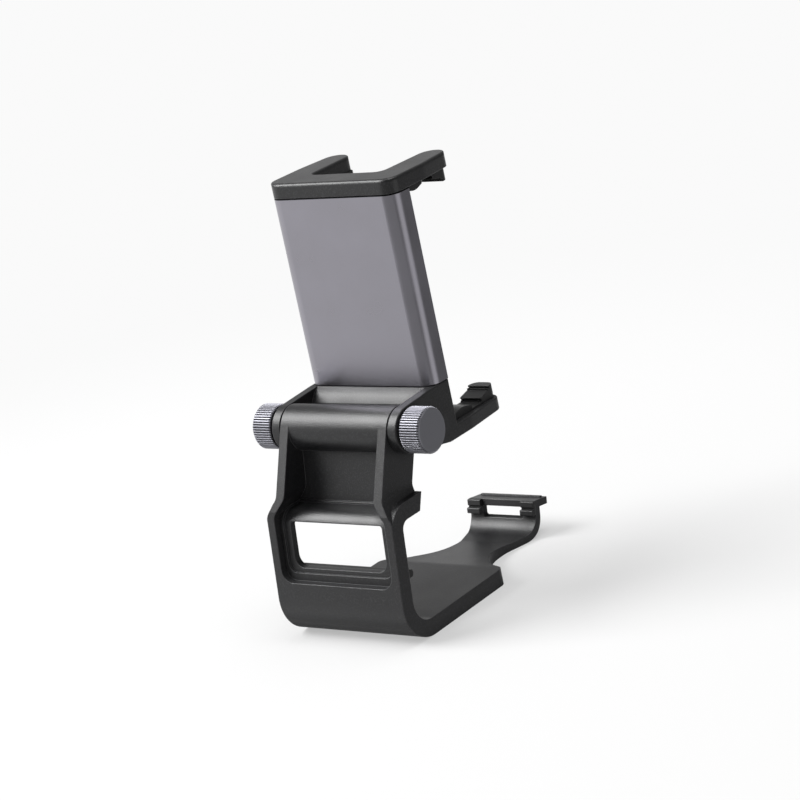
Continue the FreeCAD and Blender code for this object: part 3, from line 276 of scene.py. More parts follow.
# %% [markdown]
# ## The lamps
#
# One large soft lamp stands high on the left and a weaker one right above. Their size is what makes the
# shadows soft. A small one stands close to the clip for the gleam on its right half: it is left out of the
# diffuse light, so it adds a highlight and no shadow.

# %% The lamps
LAMP_TARGET = Vector((0, 0.02, 0.06))
# Each lamp has a name, its place, its width and its power in watts.
LAMPS = [
    ("key", (-1.45, -0.85, 1.80), 1.50, 86.0),
    ("top", (0.25, 0.30, 2.00), 1.00, 16.0),
]
GLEAM = ("gleam", (-0.164, -0.209, 0.189), 0.07, 0.06)


def add_lamp(name, place, width, power):
    """A square soft lamp that faces the middle of the clip."""
    data = bpy.data.lights.new(name, "AREA")
    data.shape = "SQUARE"
    data.size = width
    data.energy = power
    lamp = bpy.data.objects.new(name, data)
    lamp.location = place
    lamp.rotation_euler = (LAMP_TARGET - Vector(place)).to_track_quat("-Z", "Y").to_euler()
    bpy.context.collection.objects.link(lamp)
    return lamp


lamps = [add_lamp(*lamp) for lamp in LAMPS]
gleam = add_lamp(*GLEAM)
gleam.visible_diffuse = False
gleam.visible_camera = False
bpy.context.scene.view_settings.view_transform = "Standard"
print("lamps:", [lamp.name for lamp in lamps], gleam.name)

# %% [markdown]
# ## What all finishes share
#
# Real surfaces are never quite even: shade and gloss drift over a centimetre or two, and fine grain lies on
# top. Painted images could show this, but noise nodes that read the place on the object have no seams, and a
# size in millimetres keeps its meaning on every piece. A finish starts as the set of values that feed the
# shader, and each helper after this one changes some of them.

# %% What all finishes share
CLOUD = 14 * MM
CLOUD_DETAIL = 3.0
GRAIN_DETAIL = 2.0
# Noise seldom leaves this range, so it is what gets stretched.
NOISE_RANGE = {"From Min": 0.3, "From Max": 0.7}
GLOSS_DRIFT = 0.03
BEVEL_SAMPLES = 16
FINISHES = {}


def start_finish(name, dark, light, roughness, grain):
    """A material whose shade and gloss drift slowly, with noise of the grain's size for later steps."""
    material, tree = new_material(name)
    place = add_node(tree, "ShaderNodeTexCoord").outputs["Object"]
    fine = add_node(tree, "ShaderNodeTexNoise", {
        "Vector": place, "Scale": 1 / grain, "Detail": GRAIN_DETAIL,
    })
    cloud = add_node(tree, "ShaderNodeTexNoise", {
        "Vector": place, "Scale": 1 / CLOUD, "Detail": CLOUD_DETAIL,
    })
    drift = add_node(tree, "ShaderNodeMapRange", {"Value": cloud, **NOISE_RANGE})
    colour = add_node(tree, "ShaderNodeMix", {0: drift, 6: linear(dark), 7: linear(light)}, data_type="RGBA")
    gloss = add_node(tree, "ShaderNodeMapRange", {
        "Value": cloud, "To Min": roughness - GLOSS_DRIFT, "To Max": roughness + GLOSS_DRIFT, **NOISE_RANGE,
    })
    return SimpleNamespace(material=material, tree=tree, place=place, grain=fine, colour=colour,
                           roughness=gloss)


def press_grain(look, depth, edge):
    """Grain as a fine bump, on top of edges that look softly rounded."""
    rounding = add_node(look.tree, "ShaderNodeBevel", {"Radius": edge}, samples=BEVEL_SAMPLES)
    look.normal = add_node(look.tree, "ShaderNodeBump", {
        "Height": look.grain, "Distance": depth, "Strength": 1.0, "Normal": rounding,
    })


def close_finish(look, sockets):
    """The shader with all that feeds it, and with the given numbers on its own sockets."""
    shader = add_node(look.tree, "ShaderNodeBsdfPrincipled", {
        "Base Color": look.colour, "Roughness": look.roughness, "Normal": look.normal, **sockets,
    })
    add_node(look.tree, "ShaderNodeOutputMaterial", {"Surface": shader})
    print(look.material.name, "has", len(look.tree.nodes), "nodes")
    return look.material


print("clouds of", round(CLOUD / MM), "mm and grain of each finish's own size")

# %% [markdown]
# ## Rubbed edges and painted edge highlights
#
# Black plastic shows its form by its edges. Hands rub them smoother, in patches, and here they are also
# painted
# paler: partly wear, partly a painted highlight that stands in for the bright lines light draws along rounded
# edges. They could be painted piece by piece. A Bevel node finds them instead: an edge is where its rounded
# normal leaves the flat one.

# %% Rubbed edges and painted edge highlights
# How far the normal has turned where the paler edge, wear and painted highlight, begins, and where it is
# full.
EDGE_TURN = (0.02, 0.25)
EDGE_POLISH = 0.08
EDGE_PATCH = 2.2 * MM


def rub_and_highlight_edges(look, edge, pale_edge_colour, wear):
    """Edges rubbed smoother and painted paler, partly as wear and partly as a painted highlight, in patches
    of half to full strength.
    """
    tree = look.tree
    rounding = add_node(tree, "ShaderNodeBevel", {"Radius": edge}, samples=BEVEL_SAMPLES)
    flat = add_node(tree, "ShaderNodeNewGeometry").outputs["True Normal"]
    same = add_node(tree, "ShaderNodeVectorMath", {0: rounding, 1: flat}, operation="DOT_PRODUCT")
    turned = add_node(tree, "ShaderNodeMath", {0: 1.0, 1: same}, operation="SUBTRACT")
    at_edge = add_node(tree, "ShaderNodeMapRange", {
        "Value": turned, "From Min": EDGE_TURN[0], "From Max": EDGE_TURN[1],
    }, interpolation_type="SMOOTHSTEP")
    patches = add_node(tree, "ShaderNodeTexNoise", {
        "Vector": look.place, "Scale": 1 / EDGE_PATCH, "Detail": CLOUD_DETAIL,
    })
    amount = add_node(tree, "ShaderNodeMapRange", {
        "Value": patches, "To Min": wear / 2, "To Max": wear, **NOISE_RANGE,
    })
    # The paler edge colour is partly wear and partly a painted highlight.
    rubbed_and_highlit = add_node(tree, "ShaderNodeMath", {0: at_edge, 1: amount}, operation="MULTIPLY")
    look.colour = add_node(tree, "ShaderNodeMix", {0: rubbed_and_highlit, 6: look.colour, 7: linear(pale_edge_colour)},
                           data_type="RGBA")
    look.roughness = add_node(tree, "ShaderNodeMath", {0: rubbed_and_highlit, 1: -EDGE_POLISH, 2: look.roughness},
                              operation="MULTIPLY_ADD")


print("patches of wear are", round(EDGE_PATCH / MM, 1), "mm wide")

# %% [markdown]
# ## Dull corners
#
# In tight corners the plastic keeps the full roughness of its mould, so they look blacker than open faces,
# which mirror the light panels more clearly. Ambient Occlusion finds them: it tells how much of the room a
# point can see.

# %% Dull corners
CORNER_REACH = 6.0 * MM
# How much of the room a point sees where a corner begins, and where it is full.
CORNER_OPEN = (1.0, 0.40)
CORNER_SAMPLES = 8
CORNER_ROUGHER = 0.42


def dull_corners(look):
    """Tight corners keep their full roughness, because no hand polishes them."""
    tree = look.tree
    seen = add_node(tree, "ShaderNodeAmbientOcclusion", {"Distance": CORNER_REACH}, samples=CORNER_SAMPLES)
    tucked = add_node(tree, "ShaderNodeMapRange", {
        "Value": seen.outputs["AO"], "From Min": CORNER_OPEN[0], "From Max": CORNER_OPEN[1],
    }, interpolation_type="SMOOTHSTEP")
    look.roughness = add_node(tree, "ShaderNodeMath", {0: tucked, 1: CORNER_ROUGHER, 2: look.roughness},
                              operation="MULTIPLY_ADD")


print("corners count up to", round(CORNER_REACH / MM), "mm from a wall")

# %% [markdown]
# ## Black ABS
#
# The base, the lower jaw, the cover and the upper jaw are moulded ABS. The mould was spark-eroded, which
# leaves a fine even grain. To the eye that gives soft broad highlights with tiny pale specks on the crests.
# Its edges are grey where they are rubbed, and that grey is partly a painted highlight.

# %% Black ABS
# That of ABS and nylon. Acetal and silicone have a little less, but were matched to the photograph with it.
PLASTIC_IOR = 1.53
# Spark-eroded grain is about 0.15 mm wide. It is drawn as coarse as it needs to show, with crests to match.
ABS_GRAIN = 0.40 * MM
ABS_DEPTH = 0.045 * MM
ABS_EDGE = 0.34 * MM
# The noise where a crest begins to be pale, and where it is palest.
SPECK_CREST = (0.50, 0.68)


def black_abs(name):
    """Grained black ABS with specks on its crests, edges painted paler as wear and painted highlight, and
    dull corners.
    """
    look = start_finish(name, "#111112", "#151517", roughness=0.39, grain=ABS_GRAIN)
    crest = add_node(look.tree, "ShaderNodeMapRange", {
        "Value": look.grain, "From Min": SPECK_CREST[0], "From Max": SPECK_CREST[1],
    }, interpolation_type="SMOOTHSTEP")
    look.colour = add_node(look.tree, "ShaderNodeMix", {0: crest, 6: look.colour, 7: linear("#262628")},
                           data_type="RGBA")
    # Paler edges: part wear, part painted highlight.
    rub_and_highlight_edges(look, ABS_EDGE, pale_edge_colour="#6a6a6d", wear=0.6)
    dull_corners(look)
    press_grain(look, ABS_DEPTH, ABS_EDGE)
    return look


FINISHES["abs_black"] = close_finish(black_abs("black grained ABS"), {"IOR": PLASTIC_IOR})

# %% [markdown]
# ## The rounded band
#
# The band of the upper jaw is of the same ABS, with a wider rounding along its top that catches the light. A
# wider Bevel node didn't show it on so thin a band, so near the top the normal also leans up.

# %% The rounded band
# How far below the top the rounding begins, and where it is full.
BAND_ROUND = (1.3 * MM, 0.4 * MM)
BAND_LEAN = 0.65
band_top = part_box("upper_jaw")[1][2]


def near_top(look, top, deep, full):
    """One near the top end of an upright piece: it rises at the first depth and is full at the second."""
    height = add_node(look.tree, "ShaderNodeSeparateXYZ", {0: look.place}).outputs["Z"]
    return add_node(look.tree, "ShaderNodeMapRange", {
        "Value": height, "From Min": top - deep, "From Max": top - full,
    }, interpolation_type="SMOOTHSTEP")


def lean_up(look, share):
    """The normal leans up by a share of the band's lean, as on a wider rounding."""
    tree = look.tree
    amount = add_node(tree, "ShaderNodeMath", {0: share, 1: BAND_LEAN}, operation="MULTIPLY")
    lean = add_node(tree, "ShaderNodeCombineXYZ", {"Z": amount})
    upward = add_node(tree, "ShaderNodeVectorTransform", {0: lean}, vector_type="VECTOR",
                      convert_from="OBJECT", convert_to="WORLD")
    total = add_node(tree, "ShaderNodeVectorMath", {0: look.normal, 1: upward}, operation="ADD")
    look.normal = add_node(tree, "ShaderNodeVectorMath", {0: total}, operation="NORMALIZE")


look = black_abs("black grained ABS, rounded band")
lean_up(look, near_top(look, band_top, *BAND_ROUND))
FINISHES["abs_band"] = close_finish(look, {"IOR": PLASTIC_IOR})

# %% [markdown]
# ## Black acetal
#
# The guide frame and the slide inside the shell are acetal, the usual plastic for parts that slide. They are
# moulded in a polished tool, so they are smooth and a little waxy, with hardly any grain. Nobody touches
# them, so they need no wear, and the shared steps are enough.

# %% Black acetal
# A polished mould leaves no grain that shows. These waves only keep its highlights from being even.
look = start_finish("smooth black acetal", "#171718", "#1a1a1b", roughness=0.38, grain=0.5 * MM)
dull_corners(look)
press_grain(look, depth=0.003 * MM, edge=0.2 * MM)
FINISHES["guide_plastic"] = close_finish(look, {"IOR": PLASTIC_IOR})

# %% [markdown]
# ## Silicone rubber
#
# The pads and grips are moulded silicone, the blackest and softest thing here. Its surface is a dull satin.
# Its rounded edges have a faint grey bloom rather than real wear, so the same edge step is used with a darker
# grey and less of it. As on the ABS, that grey is partly a painted highlight.

# %% Silicone rubber
# The texture of such a mould is about 0.1 mm wide. It is drawn as coarse as it needs to show.
RUBBER_TEXTURE = 0.4 * MM
RUBBER_EDGE = 0.24 * MM
look = start_finish("black silicone rubber", "#101011", "#131314", roughness=0.42, grain=RUBBER_TEXTURE)
# Paler edges: part bloom, part painted highlight.
rub_and_highlight_edges(look, RUBBER_EDGE, pale_edge_colour="#3c3c3e", wear=0.35)
dull_corners(look)
press_grain(look, depth=0.008 * MM, edge=RUBBER_EDGE)
FINISHES["rubber_black"] = close_finish(look, {"IOR": PLASTIC_IOR})

# %% [markdown]
# ## Anodised aluminium
#
# The back shell is bent sheet, bead-blasted and then anodised grey. The beads leave shallow pits that spread
# the light, so the metal looks like satin and mirrors only soft panels. Its upper rim is a cut edge, rougher
# than the faces. Just below the top it also carries a painted shadow, a dark band that stands for the shade
# in the gap to the upper jaw. Both could be faces of their own. Here they follow the height, because the rim
# is level.

# %% Anodised aluminium
# Blasted pits are about 0.1 mm wide. They are drawn as coarse as they need to show.
PIT = 0.45 * MM
# How far below the top the cut edge turns matt and the painted shadow of the gap turns dark, and where each
# is full.
CUT_MATT = (0.6 * MM, 0.2 * MM)
GAP_PAINTED_SHADOW = (0.46 * MM, 0.30 * MM)
CUT_ROUGHER = 0.22
shell_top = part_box("back_shell")[1][2]

look = start_finish("grey anodised aluminium", "#949299", "#9a98a0", roughness=0.30, grain=PIT)
look.roughness = add_node(look.tree, "ShaderNodeMath", {
    0: near_top(look, shell_top, *CUT_MATT), 1: CUT_ROUGHER, 2: look.roughness,
}, operation="MULTIPLY_ADD")
# A painted shadow: the top of the shell is darkened where the gap to the upper jaw lies in shade.
look.colour = add_node(look.tree, "ShaderNodeMix", {
    0: near_top(look, shell_top, *GAP_PAINTED_SHADOW), 6: look.colour, 7: linear("#0a0a0b"),
}, data_type="RGBA")
press_grain(look, depth=0.007 * MM, edge=0.20 * MM)
FINISHES["shell_aluminium"] = close_finish(look, {"Metallic": 1.0})

# %% [markdown]
# ## Rings of the turning tool
#
# The thumb knobs are turned from bar. The tool leaves fine rings round the axis, so their shade and gloss
# depend only on the distance from the hinge axis. Rings on an image would need a flat map of the knob. Noise
# along that distance needs none.

# %% Rings of the turning tool
# The tool moves about 0.05 mm a turn. The rings are drawn wider, but too fine to be told apart from where
# the photograph was taken, because the face looks even there.
RING = 0.12 * MM
RING_DEPTH = 0.004 * MM
RING_DRIFT = 0.05


def axis_distance(tree):
    """How far a point is from the hinge axis."""
    place = add_node(tree, "ShaderNodeTexCoord").outputs["Object"]
    parts = add_node(tree, "ShaderNodeSeparateXYZ", {0: place}).outputs
    height = add_node(tree, "ShaderNodeMath", {0: parts["Z"], 1: HINGE.z}, operation="SUBTRACT")
    flat = add_node(tree, "ShaderNodeCombineXYZ", {"Y": parts["Y"], "Z": height})
    return add_node(tree, "ShaderNodeVectorMath", {0: flat}, operation="LENGTH")


def ring_noise(tree, radius):
    """Noise that changes only with the distance from the axis."""
    line = add_node(tree, "ShaderNodeCombineXYZ", {"X": radius})
    return add_node(tree, "ShaderNodeTexNoise", {"Vector": line, "Scale": 1 / RING, "Detail": GRAIN_DETAIL})


print("rings are", round(RING / MM, 2), "mm wide")

# %% [markdown]
# ## Turned and knurled aluminium
#
# The face of a knob is bright turned aluminium. Its rim is knurled, which is rougher. The grooves are there
# in the solid, and a painted shade makes them darker than the ridges: this finish darkens what lies deeper
# than the crests, and only on faces that look away from the axis.

# %% Turned and knurled aluminium
TURNED_ROUGHNESS = 0.36
KNURL_CREST = 6.48 * MM
KNURL_ROOT = 6.05 * MM
# How squarely a face looks along the axis where the rim begins, and where it is full.
RIM_FACING = (0.6, 0.3)
RIM_ROUGHER = 0.18


def turned_aluminium(name):
    """Ringed metal with a rougher rim and painted shade in the grooves of the knurl."""
    material, tree = new_material(name)
    radius = axis_distance(tree)
    rings = ring_noise(tree, radius)
    drift = add_node(tree, "ShaderNodeMapRange", {"Value": rings, **NOISE_RANGE})
    shade = add_node(tree, "ShaderNodeMix", {0: drift, 6: linear("#8e8e95"), 7: linear("#a4a4ab")},
                     data_type="RGBA")
    gloss = add_node(tree, "ShaderNodeMapRange", {
        "Value": rings, "To Min": TURNED_ROUGHNESS - RING_DRIFT, "To Max": TURNED_ROUGHNESS + RING_DRIFT,
        **NOISE_RANGE,
    })
    normal = add_node(tree, "ShaderNodeNewGeometry").outputs["True Normal"]
    facing = add_node(tree, "ShaderNodeSeparateXYZ", {0: normal}).outputs["X"]
    flatness = add_node(tree, "ShaderNodeMath", {0: facing}, operation="ABSOLUTE")
    on_rim = add_node(tree, "ShaderNodeMapRange", {
        "Value": flatness, "From Min": RIM_FACING[0], "From Max": RIM_FACING[1],
    }, interpolation_type="SMOOTHSTEP")
    deep = add_node(tree, "ShaderNodeMapRange", {
        "Value": radius, "From Min": KNURL_CREST, "From Max": KNURL_ROOT,
    }, interpolation_type="SMOOTHSTEP")
    groove_shade = add_node(tree, "ShaderNodeMath", {0: on_rim, 1: deep}, operation="MULTIPLY")
    # Painted shade in the grooves of the knurl.
    colour = add_node(tree, "ShaderNodeMix", {0: groove_shade, 6: shade, 7: linear("#3a3a3e")}, data_type="RGBA")
    roughness = add_node(tree, "ShaderNodeMath", {0: on_rim, 1: RIM_ROUGHER, 2: gloss},
                         operation="MULTIPLY_ADD")
    return SimpleNamespace(material=material, tree=tree, grain=rings, colour=colour, roughness=roughness)


look = turned_aluminium("turned knob aluminium")
press_grain(look, RING_DEPTH, RING)
FINISHES["knob_aluminium"] = close_finish(look, {"Metallic": 1.0})

# %% [markdown]
# ## Brass, steel and nylon
#
# The small parts are bought ones. The inserts are turned brass, pale yellow and fairly bright. Studs, screws,
# pins and springs are steel with a bright zinc plating, a cool grey that is glossier than the shell. The
# washers are black nylon, moulded and matt. They are small and mostly hidden, so each is one line of a table.

# %% Brass, steel and nylon
# Each has its slot, name, two shades and roughness, then the grain, its depth and the edge rounding in
# millimetres, and the numbers on the shader. Their real grain is finer than 0.1 mm. It is drawn as coarse as
# it needs to show up close.
SMALL_PARTS = [
    ("insert_brass", "turned brass", "#b08d45", "#c09c50", 0.30, 0.3, 0.003, 0.10, {"Metallic": 1.0}),
    ("steel", "bright zinc plated steel", "#a8a8aa", "#b6b6b8", 0.28, 0.3, 0.003, 0.08, {"Metallic": 1.0}),
    ("washer_nylon", "black nylon", "#19191a", "#1d1d1e", 0.50, 0.4, 0.004, 0.10, {"IOR": PLASTIC_IOR}),
]
for slot, name, dark, light, roughness, grain, depth, edge, sockets in SMALL_PARTS:
    look = start_finish(name, dark, light, roughness, grain * MM)
    if "Metallic" not in sockets:
        dull_corners(look)
    press_grain(look, depth * MM, edge * MM)
    FINISHES[slot] = close_finish(look, sockets)

# %% [markdown]
# ## Dressing the solids
#
# Every solid comes with the name of its material slot, so it gets the finish of that name. The upper jaw is
# of the same black ABS as the others, in the variant with the wider rounding.

# %% Dressing the solids
OWN_FINISH = {"upper_jaw": "abs_band"}
slot_of = {part["node"]: part["material_slot"] for part in frame["record"]["subparts"]}

for name, item in frame["nodes"].items():
    item.data.materials.clear()
    item.data.materials.append(FINISHES[OWN_FINISH.get(name, slot_of[name])])
print("finishes:", len(FINISHES), "for", len(frame["nodes"]), "nodes")

# %% [markdown]
# ## From a bmesh to a piece
#
# The springs, screws and studs came in as plain rods. Finer pieces take their place, all in the same way: a
# bmesh is shaped by operators, its faces are turned outwards, and the mesh becomes an object at the origin
# with a finish and, where it is rigid, the body that it rides on.

# %% From a bmesh to a piece


def new_piece(name, shape, finish, body):
    """A finished mesh becomes an object that rides on a body, or on none."""
    bmesh.ops.recalc_face_normals(shape, faces=shape.faces)
    mesh = bpy.data.meshes.new(name)
    shape.to_mesh(mesh)
    shape.free()
    mesh.shade_smooth()
    piece = bpy.data.objects.new(name, mesh)
    bpy.context.collection.objects.link(piece)
    mesh.materials.append(FINISHES[finish])
    if body:
        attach(piece, body)
    print(name, "has", len(mesh.polygons), "faces")
    return piece


print("steel solids:", [name for name in sorted(frame["nodes"]) if slot_of[name] == "steel"])

# %% [markdown]
# ## Spring wire
#
# An extension spring is wound from hard wire, and its last turns are bent out into loops that hang on steel
# pins. A curve with a round bevel would also do, but it has to be made a mesh later. The wire here is a small
# ring of points, and a spin bends it into a loop.

# %% Spring wire
WIRE = 0.4 * MM
WIRE_SIDES = 6
TURN_STEPS = 12
LOOP_TURN = math.radians(300)
SPRING_RADIUS = 1.3 * MM
LOOP_RADIUS = 0.9 * MM


def wire_ring(shape, place, turn):
    """The edges of the round section of the wire at one point."""
    ring = bmesh.ops.create_circle(shape, segments=WIRE_SIDES, radius=WIRE / 2,
                                   matrix=Matrix.Translation(place) @ turn)["verts"]
    return list({edge for point in ring for edge in point.link_edges})


def add_loop(shape, middle, pin, leg_start, way):
    """A straight leg to the height of a pin and a loop round it, one way (1) or the other (-1)."""
    ring = wire_ring(shape, Vector((middle.x, middle.y + LOOP_RADIUS, leg_start)), Matrix())
    leg = bmesh.ops.extrude_edge_only(shape, edges=ring)["geom"]
    points = [item for item in leg if isinstance(item, bmesh.types.BMVert)]
    bmesh.ops.translate(shape, verts=points, vec=(0, 0, pin - leg_start))
    edges = [item for item in leg if isinstance(item, bmesh.types.BMEdge)
             and all(point in points for point in item.verts)]
    bmesh.ops.spin(shape, geom=edges, cent=(middle.x, middle.y, pin), axis=(-way, 0, 0), angle=LOOP_TURN,
                   steps=TURN_STEPS)


trial = bmesh.new()
add_loop(trial, Vector(), LOOP_RADIUS, 0, 1)
print("faces of one loop:", len(trial.faces))
trial.free()

# %% [markdown]
# ## Springs
#
# Two springs pull the upper jaw down. They are wound close, so each turn rises by one width of the wire: one
# spin with a small lift at every step makes the coil. They hold on at both ends while the jaw slides. Here
# each stays where its solid was and rides on no body.

# %% Springs
HOOK_GAP = 1.3 * MM
RIGHT_ANGLE = math.radians(90)


def add_spring(name):
    """A close wound spring in the place of its solid, with a loop at each end."""
    low, high = (Vector(corner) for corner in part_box(name))
    middle = (low + high) / 2
    low_pin = low.z + LOOP_RADIUS + WIRE / 2
    high_pin = high.z - LOOP_RADIUS - WIRE / 2
    foot = low_pin + HOOK_GAP
    top = high_pin - HOOK_GAP
    turns = int((top - foot) / WIRE) - 1
    start = Vector((middle.x, middle.y + SPRING_RADIUS - WIRE / 2, foot + WIRE / 2))
    shape = bmesh.new()
    ring = wire_ring(shape, start, Matrix.Rotation(RIGHT_ANGLE, 4, "Y"))
    bmesh.ops.spin(shape, geom=ring, cent=middle, axis=(0, 0, 1), angle=math.tau * turns,
                   steps=turns * TURN_STEPS, dvec=(0, 0, WIRE / TURN_STEPS))
    add_loop(shape, middle, low_pin, foot + WIRE, 1)
    add_loop(shape, middle, high_pin, top - WIRE, -1)
    bmesh.ops.holes_fill(shape, edges=shape.edges, sides=WIRE_SIDES)
    spring = new_piece(f"wound_{name}", shape, "steel", None)
    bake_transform(spring)
    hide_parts(name)
    return turns


for name in ("spring_left", "spring_right"):
    print(name, "turns:", add_spring(name))

# %% [markdown]
# ## Threads
#
# Screws and studs carry a ridge wound round a plain rod. A displaced surface would blur it. Here a small
# triangle of points is wound round the rod with the same lifting spin that winds a spring, and its two ends
# are closed. The rod has a bevelled tip, as a real one has to find its hole.

# %% Threads
ROUND_SIDES = 32
RIM_SEGMENTS = 3
# Where the root, the crest and the root again lie, in shares of one pitch.
RIDGE = (0.05, 0.50, 0.95)


def wind_thread(shape, crest, root, pitch, length):
    """A ridge wound round the upright axis, from the origin downwards."""
    corners = [shape.verts.new((radius, 0, -pitch * share))
               for radius, share in zip((root, crest, root), RIDGE)]
    edges = [shape.edges.new((corners[one], corners[(one + 1) % len(corners)]))
             for one in range(len(corners))]
    turns = length / pitch
    steps = int(turns * TURN_STEPS)
    bmesh.ops.spin(shape, geom=edges, cent=(0, 0, 0), axis=(0, 0, 1), angle=math.tau * turns, steps=steps,
                   dvec=(0, 0, -length / steps))
    bmesh.ops.holes_fill(shape, edges=shape.edges, sides=len(edges))


def add_shank(shape, radius, top, length, tip):
    """A round rod from the given height downwards, with a bevelled tip."""
    place = Matrix.Translation((0, 0, top - length / 2))
    made = bmesh.ops.create_cone(shape, cap_ends=True, segments=ROUND_SIDES, radius1=radius, radius2=radius,
                                 depth=length, matrix=place)["verts"]
    tip_height = min(point.co.z for point in made) + tip / 10
    rim = [edge for edge in shape.edges
           if all(point in made and point.co.z < tip_height for point in edge.verts)]
    bmesh.ops.bevel(shape, geom=rim, offset=tip, offset_type="OFFSET", affect="EDGES", segments=RIM_SEGMENTS,
                    profile=0.5, material=-1)


trial = bmesh.new()
wind_thread(trial, 2 * MM, 1.5 * MM, MM, MM)
print("faces of one turn of thread:", len(trial.faces))
trial.free()

# %% [markdown]
# ## Screw heads
#
# The screws have flat round heads with a cross recess for a driver. A recess could be cut with a boolean,
# which leaves ragged faces. A disc is enough to start from: planes cut a cross into it, the cross is pushed
# in and made smaller, so that its walls taper as a driver's tip does, and the rim is bevelled.

# %% Screw heads
# Widths are shares of the radius of the head, and depths are shares of its depth.
CROSS_ARM = 0.62
CROSS_HALF_WIDTH = 0.14
CROSS_DEPTH = 0.7
HEAD_ROUND = 0.35
# How wide the floor of the cross is for its mouth.
CROSS_TAPER = 0.7


def cut_cross(shape, arm, half_width, depth):
    """A tapered cross pushed into the flat top of the head."""
    for way in ((1, 0, 0), (0, 1, 0)):
        for place in (-arm, -half_width, half_width, arm):
            every = shape.verts[:] + shape.edges[:] + shape.faces[:]
            bmesh.ops.bisect_plane(shape, geom=every, plane_co=Vector(way) * place, plane_no=way)
    cross = []
    for face in shape.faces:
        across, along = sorted(abs(number) for number in face.calc_center_median().xy)
        if across < half_width and along < arm:
            cross.append(face)
    pushed = bmesh.ops.extrude_face_region(shape, geom=cross)["geom"]
    bmesh.ops.delete(shape, geom=cross, context="FACES_ONLY")
    points = [item for item in pushed if isinstance(item, bmesh.types.BMVert)]
    bmesh.ops.scale(shape, vec=(CROSS_TAPER, CROSS_TAPER, 1), verts=points)
    bmesh.ops.translate(shape, vec=(0, 0, -depth), verts=points)


def add_head(shape, radius, depth):
    """A round head with its top at the origin, a cross in it and a bevelled rim."""
    bmesh.ops.create_circle(shape, cap_ends=True, segments=ROUND_SIDES, radius=radius)
    cut_cross(shape, radius * CROSS_ARM, radius * CROSS_HALF_WIDTH, depth * CROSS_DEPTH)
    rim = [edge for edge in shape.edges if edge.is_boundary]
    side = bmesh.ops.extrude_edge_only(shape, edges=rim)["geom"]
    points = [item for item in side if isinstance(item, bmesh.types.BMVert)]
    bmesh.ops.translate(shape, vec=(0, 0, -depth), verts=points)
    bmesh.ops.bevel(shape, geom=rim, offset=depth * HEAD_ROUND, offset_type="OFFSET", affect="EDGES",
                    segments=RIM_SEGMENTS, profile=0.5, material=-1)
    bmesh.ops.holes_fill(shape, edges=shape.edges, sides=0)


trial = bmesh.new()
add_head(trial, MM, MM / 2)
print("faces of one head:", len(trial.faces))
trial.free()

# %% [markdown]
# ## One screw
#
# A screw is a head, a rod and a thread. They could be welded into one skin, but nobody sees where they meet.
# The rod starts inside the head and the ridge starts inside the rod, so no gap shows between them.

# %% One screw
# The core and the pitch are shares of the thread's radius, and the seats tell how deep each part starts.
CORE = 0.72
SCREW_PITCH = 0.6
SHANK_SEAT = 0.9
RIDGE_SEAT = 0.95
COVER_SCREW = {"head_radius": 1.15 * MM, "head_depth": 0.5 * MM, "radius": 0.6 * MM}
JAW_SCREW = {"head_radius": 1.5 * MM, "head_depth": 1.0 * MM, "radius": 0.8 * MM}


def add_to(whole, part, spot):
    """One bmesh, moved to its spot, joins another."""
    bmesh.ops.transform(part, matrix=spot, verts=part.verts)
    mesh = bpy.data.meshes.new("joined")
    part.to_mesh(mesh)
    part.free()
    whole.from_mesh(mesh)
    bpy.data.meshes.remove(mesh)


def screw_shape(head_radius, head_depth, radius, length):
    """A screw along the upright axis, with the top of its head at the origin."""
    core = radius * CORE
    shape = bmesh.new()
    add_head(shape, head_radius, head_depth)
    add_shank(shape, core, -head_depth * SHANK_SEAT, length - head_depth * SHANK_SEAT, core / 3)
    thread = bmesh.new()
    wind_thread(thread, radius, core * RIDGE_SEAT, radius * SCREW_PITCH, length - head_depth - core)
    add_to(shape, thread, Matrix.Translation((0, 0, -head_depth)))
    return shape


trial = screw_shape(length=4 * MM, **COVER_SCREW)
print("faces of one screw:", len(trial.faces))
trial.free()

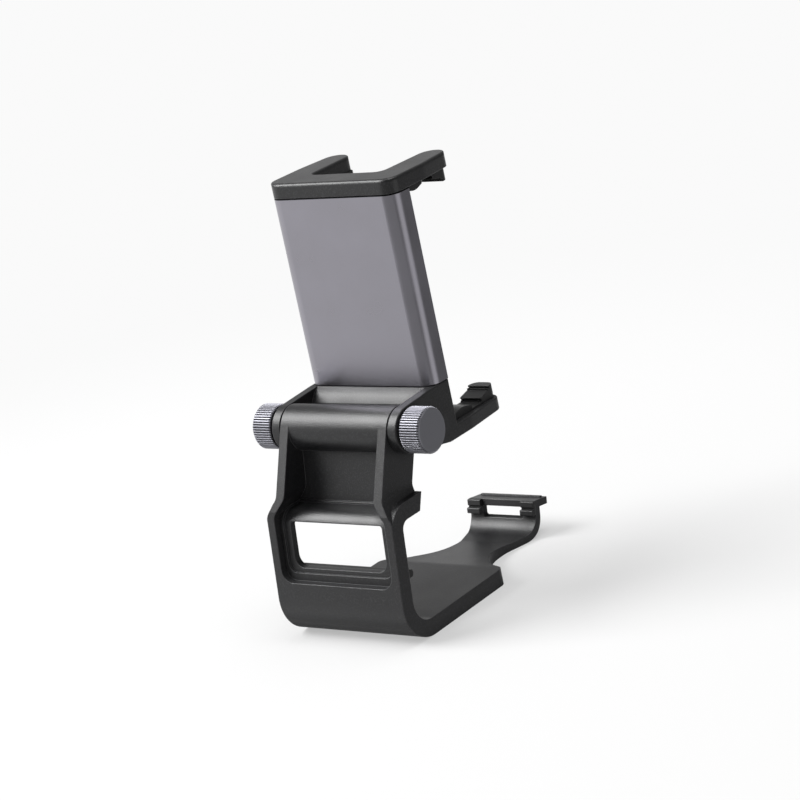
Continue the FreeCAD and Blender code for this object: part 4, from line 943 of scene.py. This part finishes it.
# %% [markdown]
# ## Cover and jaw screws
#
# Four small screws hold the front cover and two larger ones hold the upper jaw to its slide. The solids give
# the box that each set fills, so the outermost heads touch its sides. The screws of a set are one piece, as
# their solids are one node.

# %% Cover and jaw screws


def add_screws(node, body, rows, screw):
    """All screws of one node as one piece, each with its head towards the player, in one or two rows."""
    low, high = (Vector(corner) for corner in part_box(node))
    edge = screw["head_radius"]
    heights = (low.z + edge, high.z - edge) if rows == 2 else ((low.z + high.z) / 2,)
    whole = bmesh.new()
    for across in (low.x + edge, high.x - edge):
        for up in heights:
            spot = Matrix.Translation((across, high.y, up)) @ Matrix.Rotation(-RIGHT_ANGLE, 4, "X")
            add_to(whole, screw_shape(length=high.y - low.y, **screw), spot)
    piece = new_piece(f"cross_head_{node}", whole, "steel", body)
    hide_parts(node)


add_screws("cover_screws", "holder", 2, COVER_SCREW)
add_screws("jaw_screws", "sprung_jaw", 1, JAW_SCREW)

# %% [markdown]
# ## Knob studs
#
# Each knob is fixed on a threaded steel rod that runs into the brass insert of the barrel. It is built
# upright, as the screws are, and then laid along the hinge axis with its tip towards the middle. The thread
# starts in the knob and stops short of the tip.

# %% Knob studs
STUD_PITCH = 0.7 * MM
STUD_CREST = 1.95 * MM
STUD_ROOT = 1.55 * MM
STUD_SEAT = 0.1 * MM


def add_stud(name, body):
    """The threaded rod of a knob, with its tip towards the middle of the barrel."""
    low, high = (Vector(corner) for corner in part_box(name))
    middle = (low + high) / 2
    length = high.x - low.x
    outward = 1 if middle.x > 0 else -1
    shape = bmesh.new()
    add_shank(shape, STUD_ROOT, 0, length, STUD_PITCH / 2)
    wind_thread(shape, STUD_CREST, STUD_ROOT - STUD_SEAT, STUD_PITCH, length - STUD_PITCH * 2)
    head = Matrix.Translation((middle.x + outward * length / 2, middle.y, middle.z))
    spot = head @ Matrix.Rotation(outward * RIGHT_ANGLE, 4, "Y")
    bmesh.ops.transform(shape, matrix=spot, verts=shape.verts)
    stud = new_piece(f"threaded_{name}", shape, "steel", body)
    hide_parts(name)


for side in ("left", "right"):
    add_stud(f"stud_{side}", f"knob_{side}_turning")
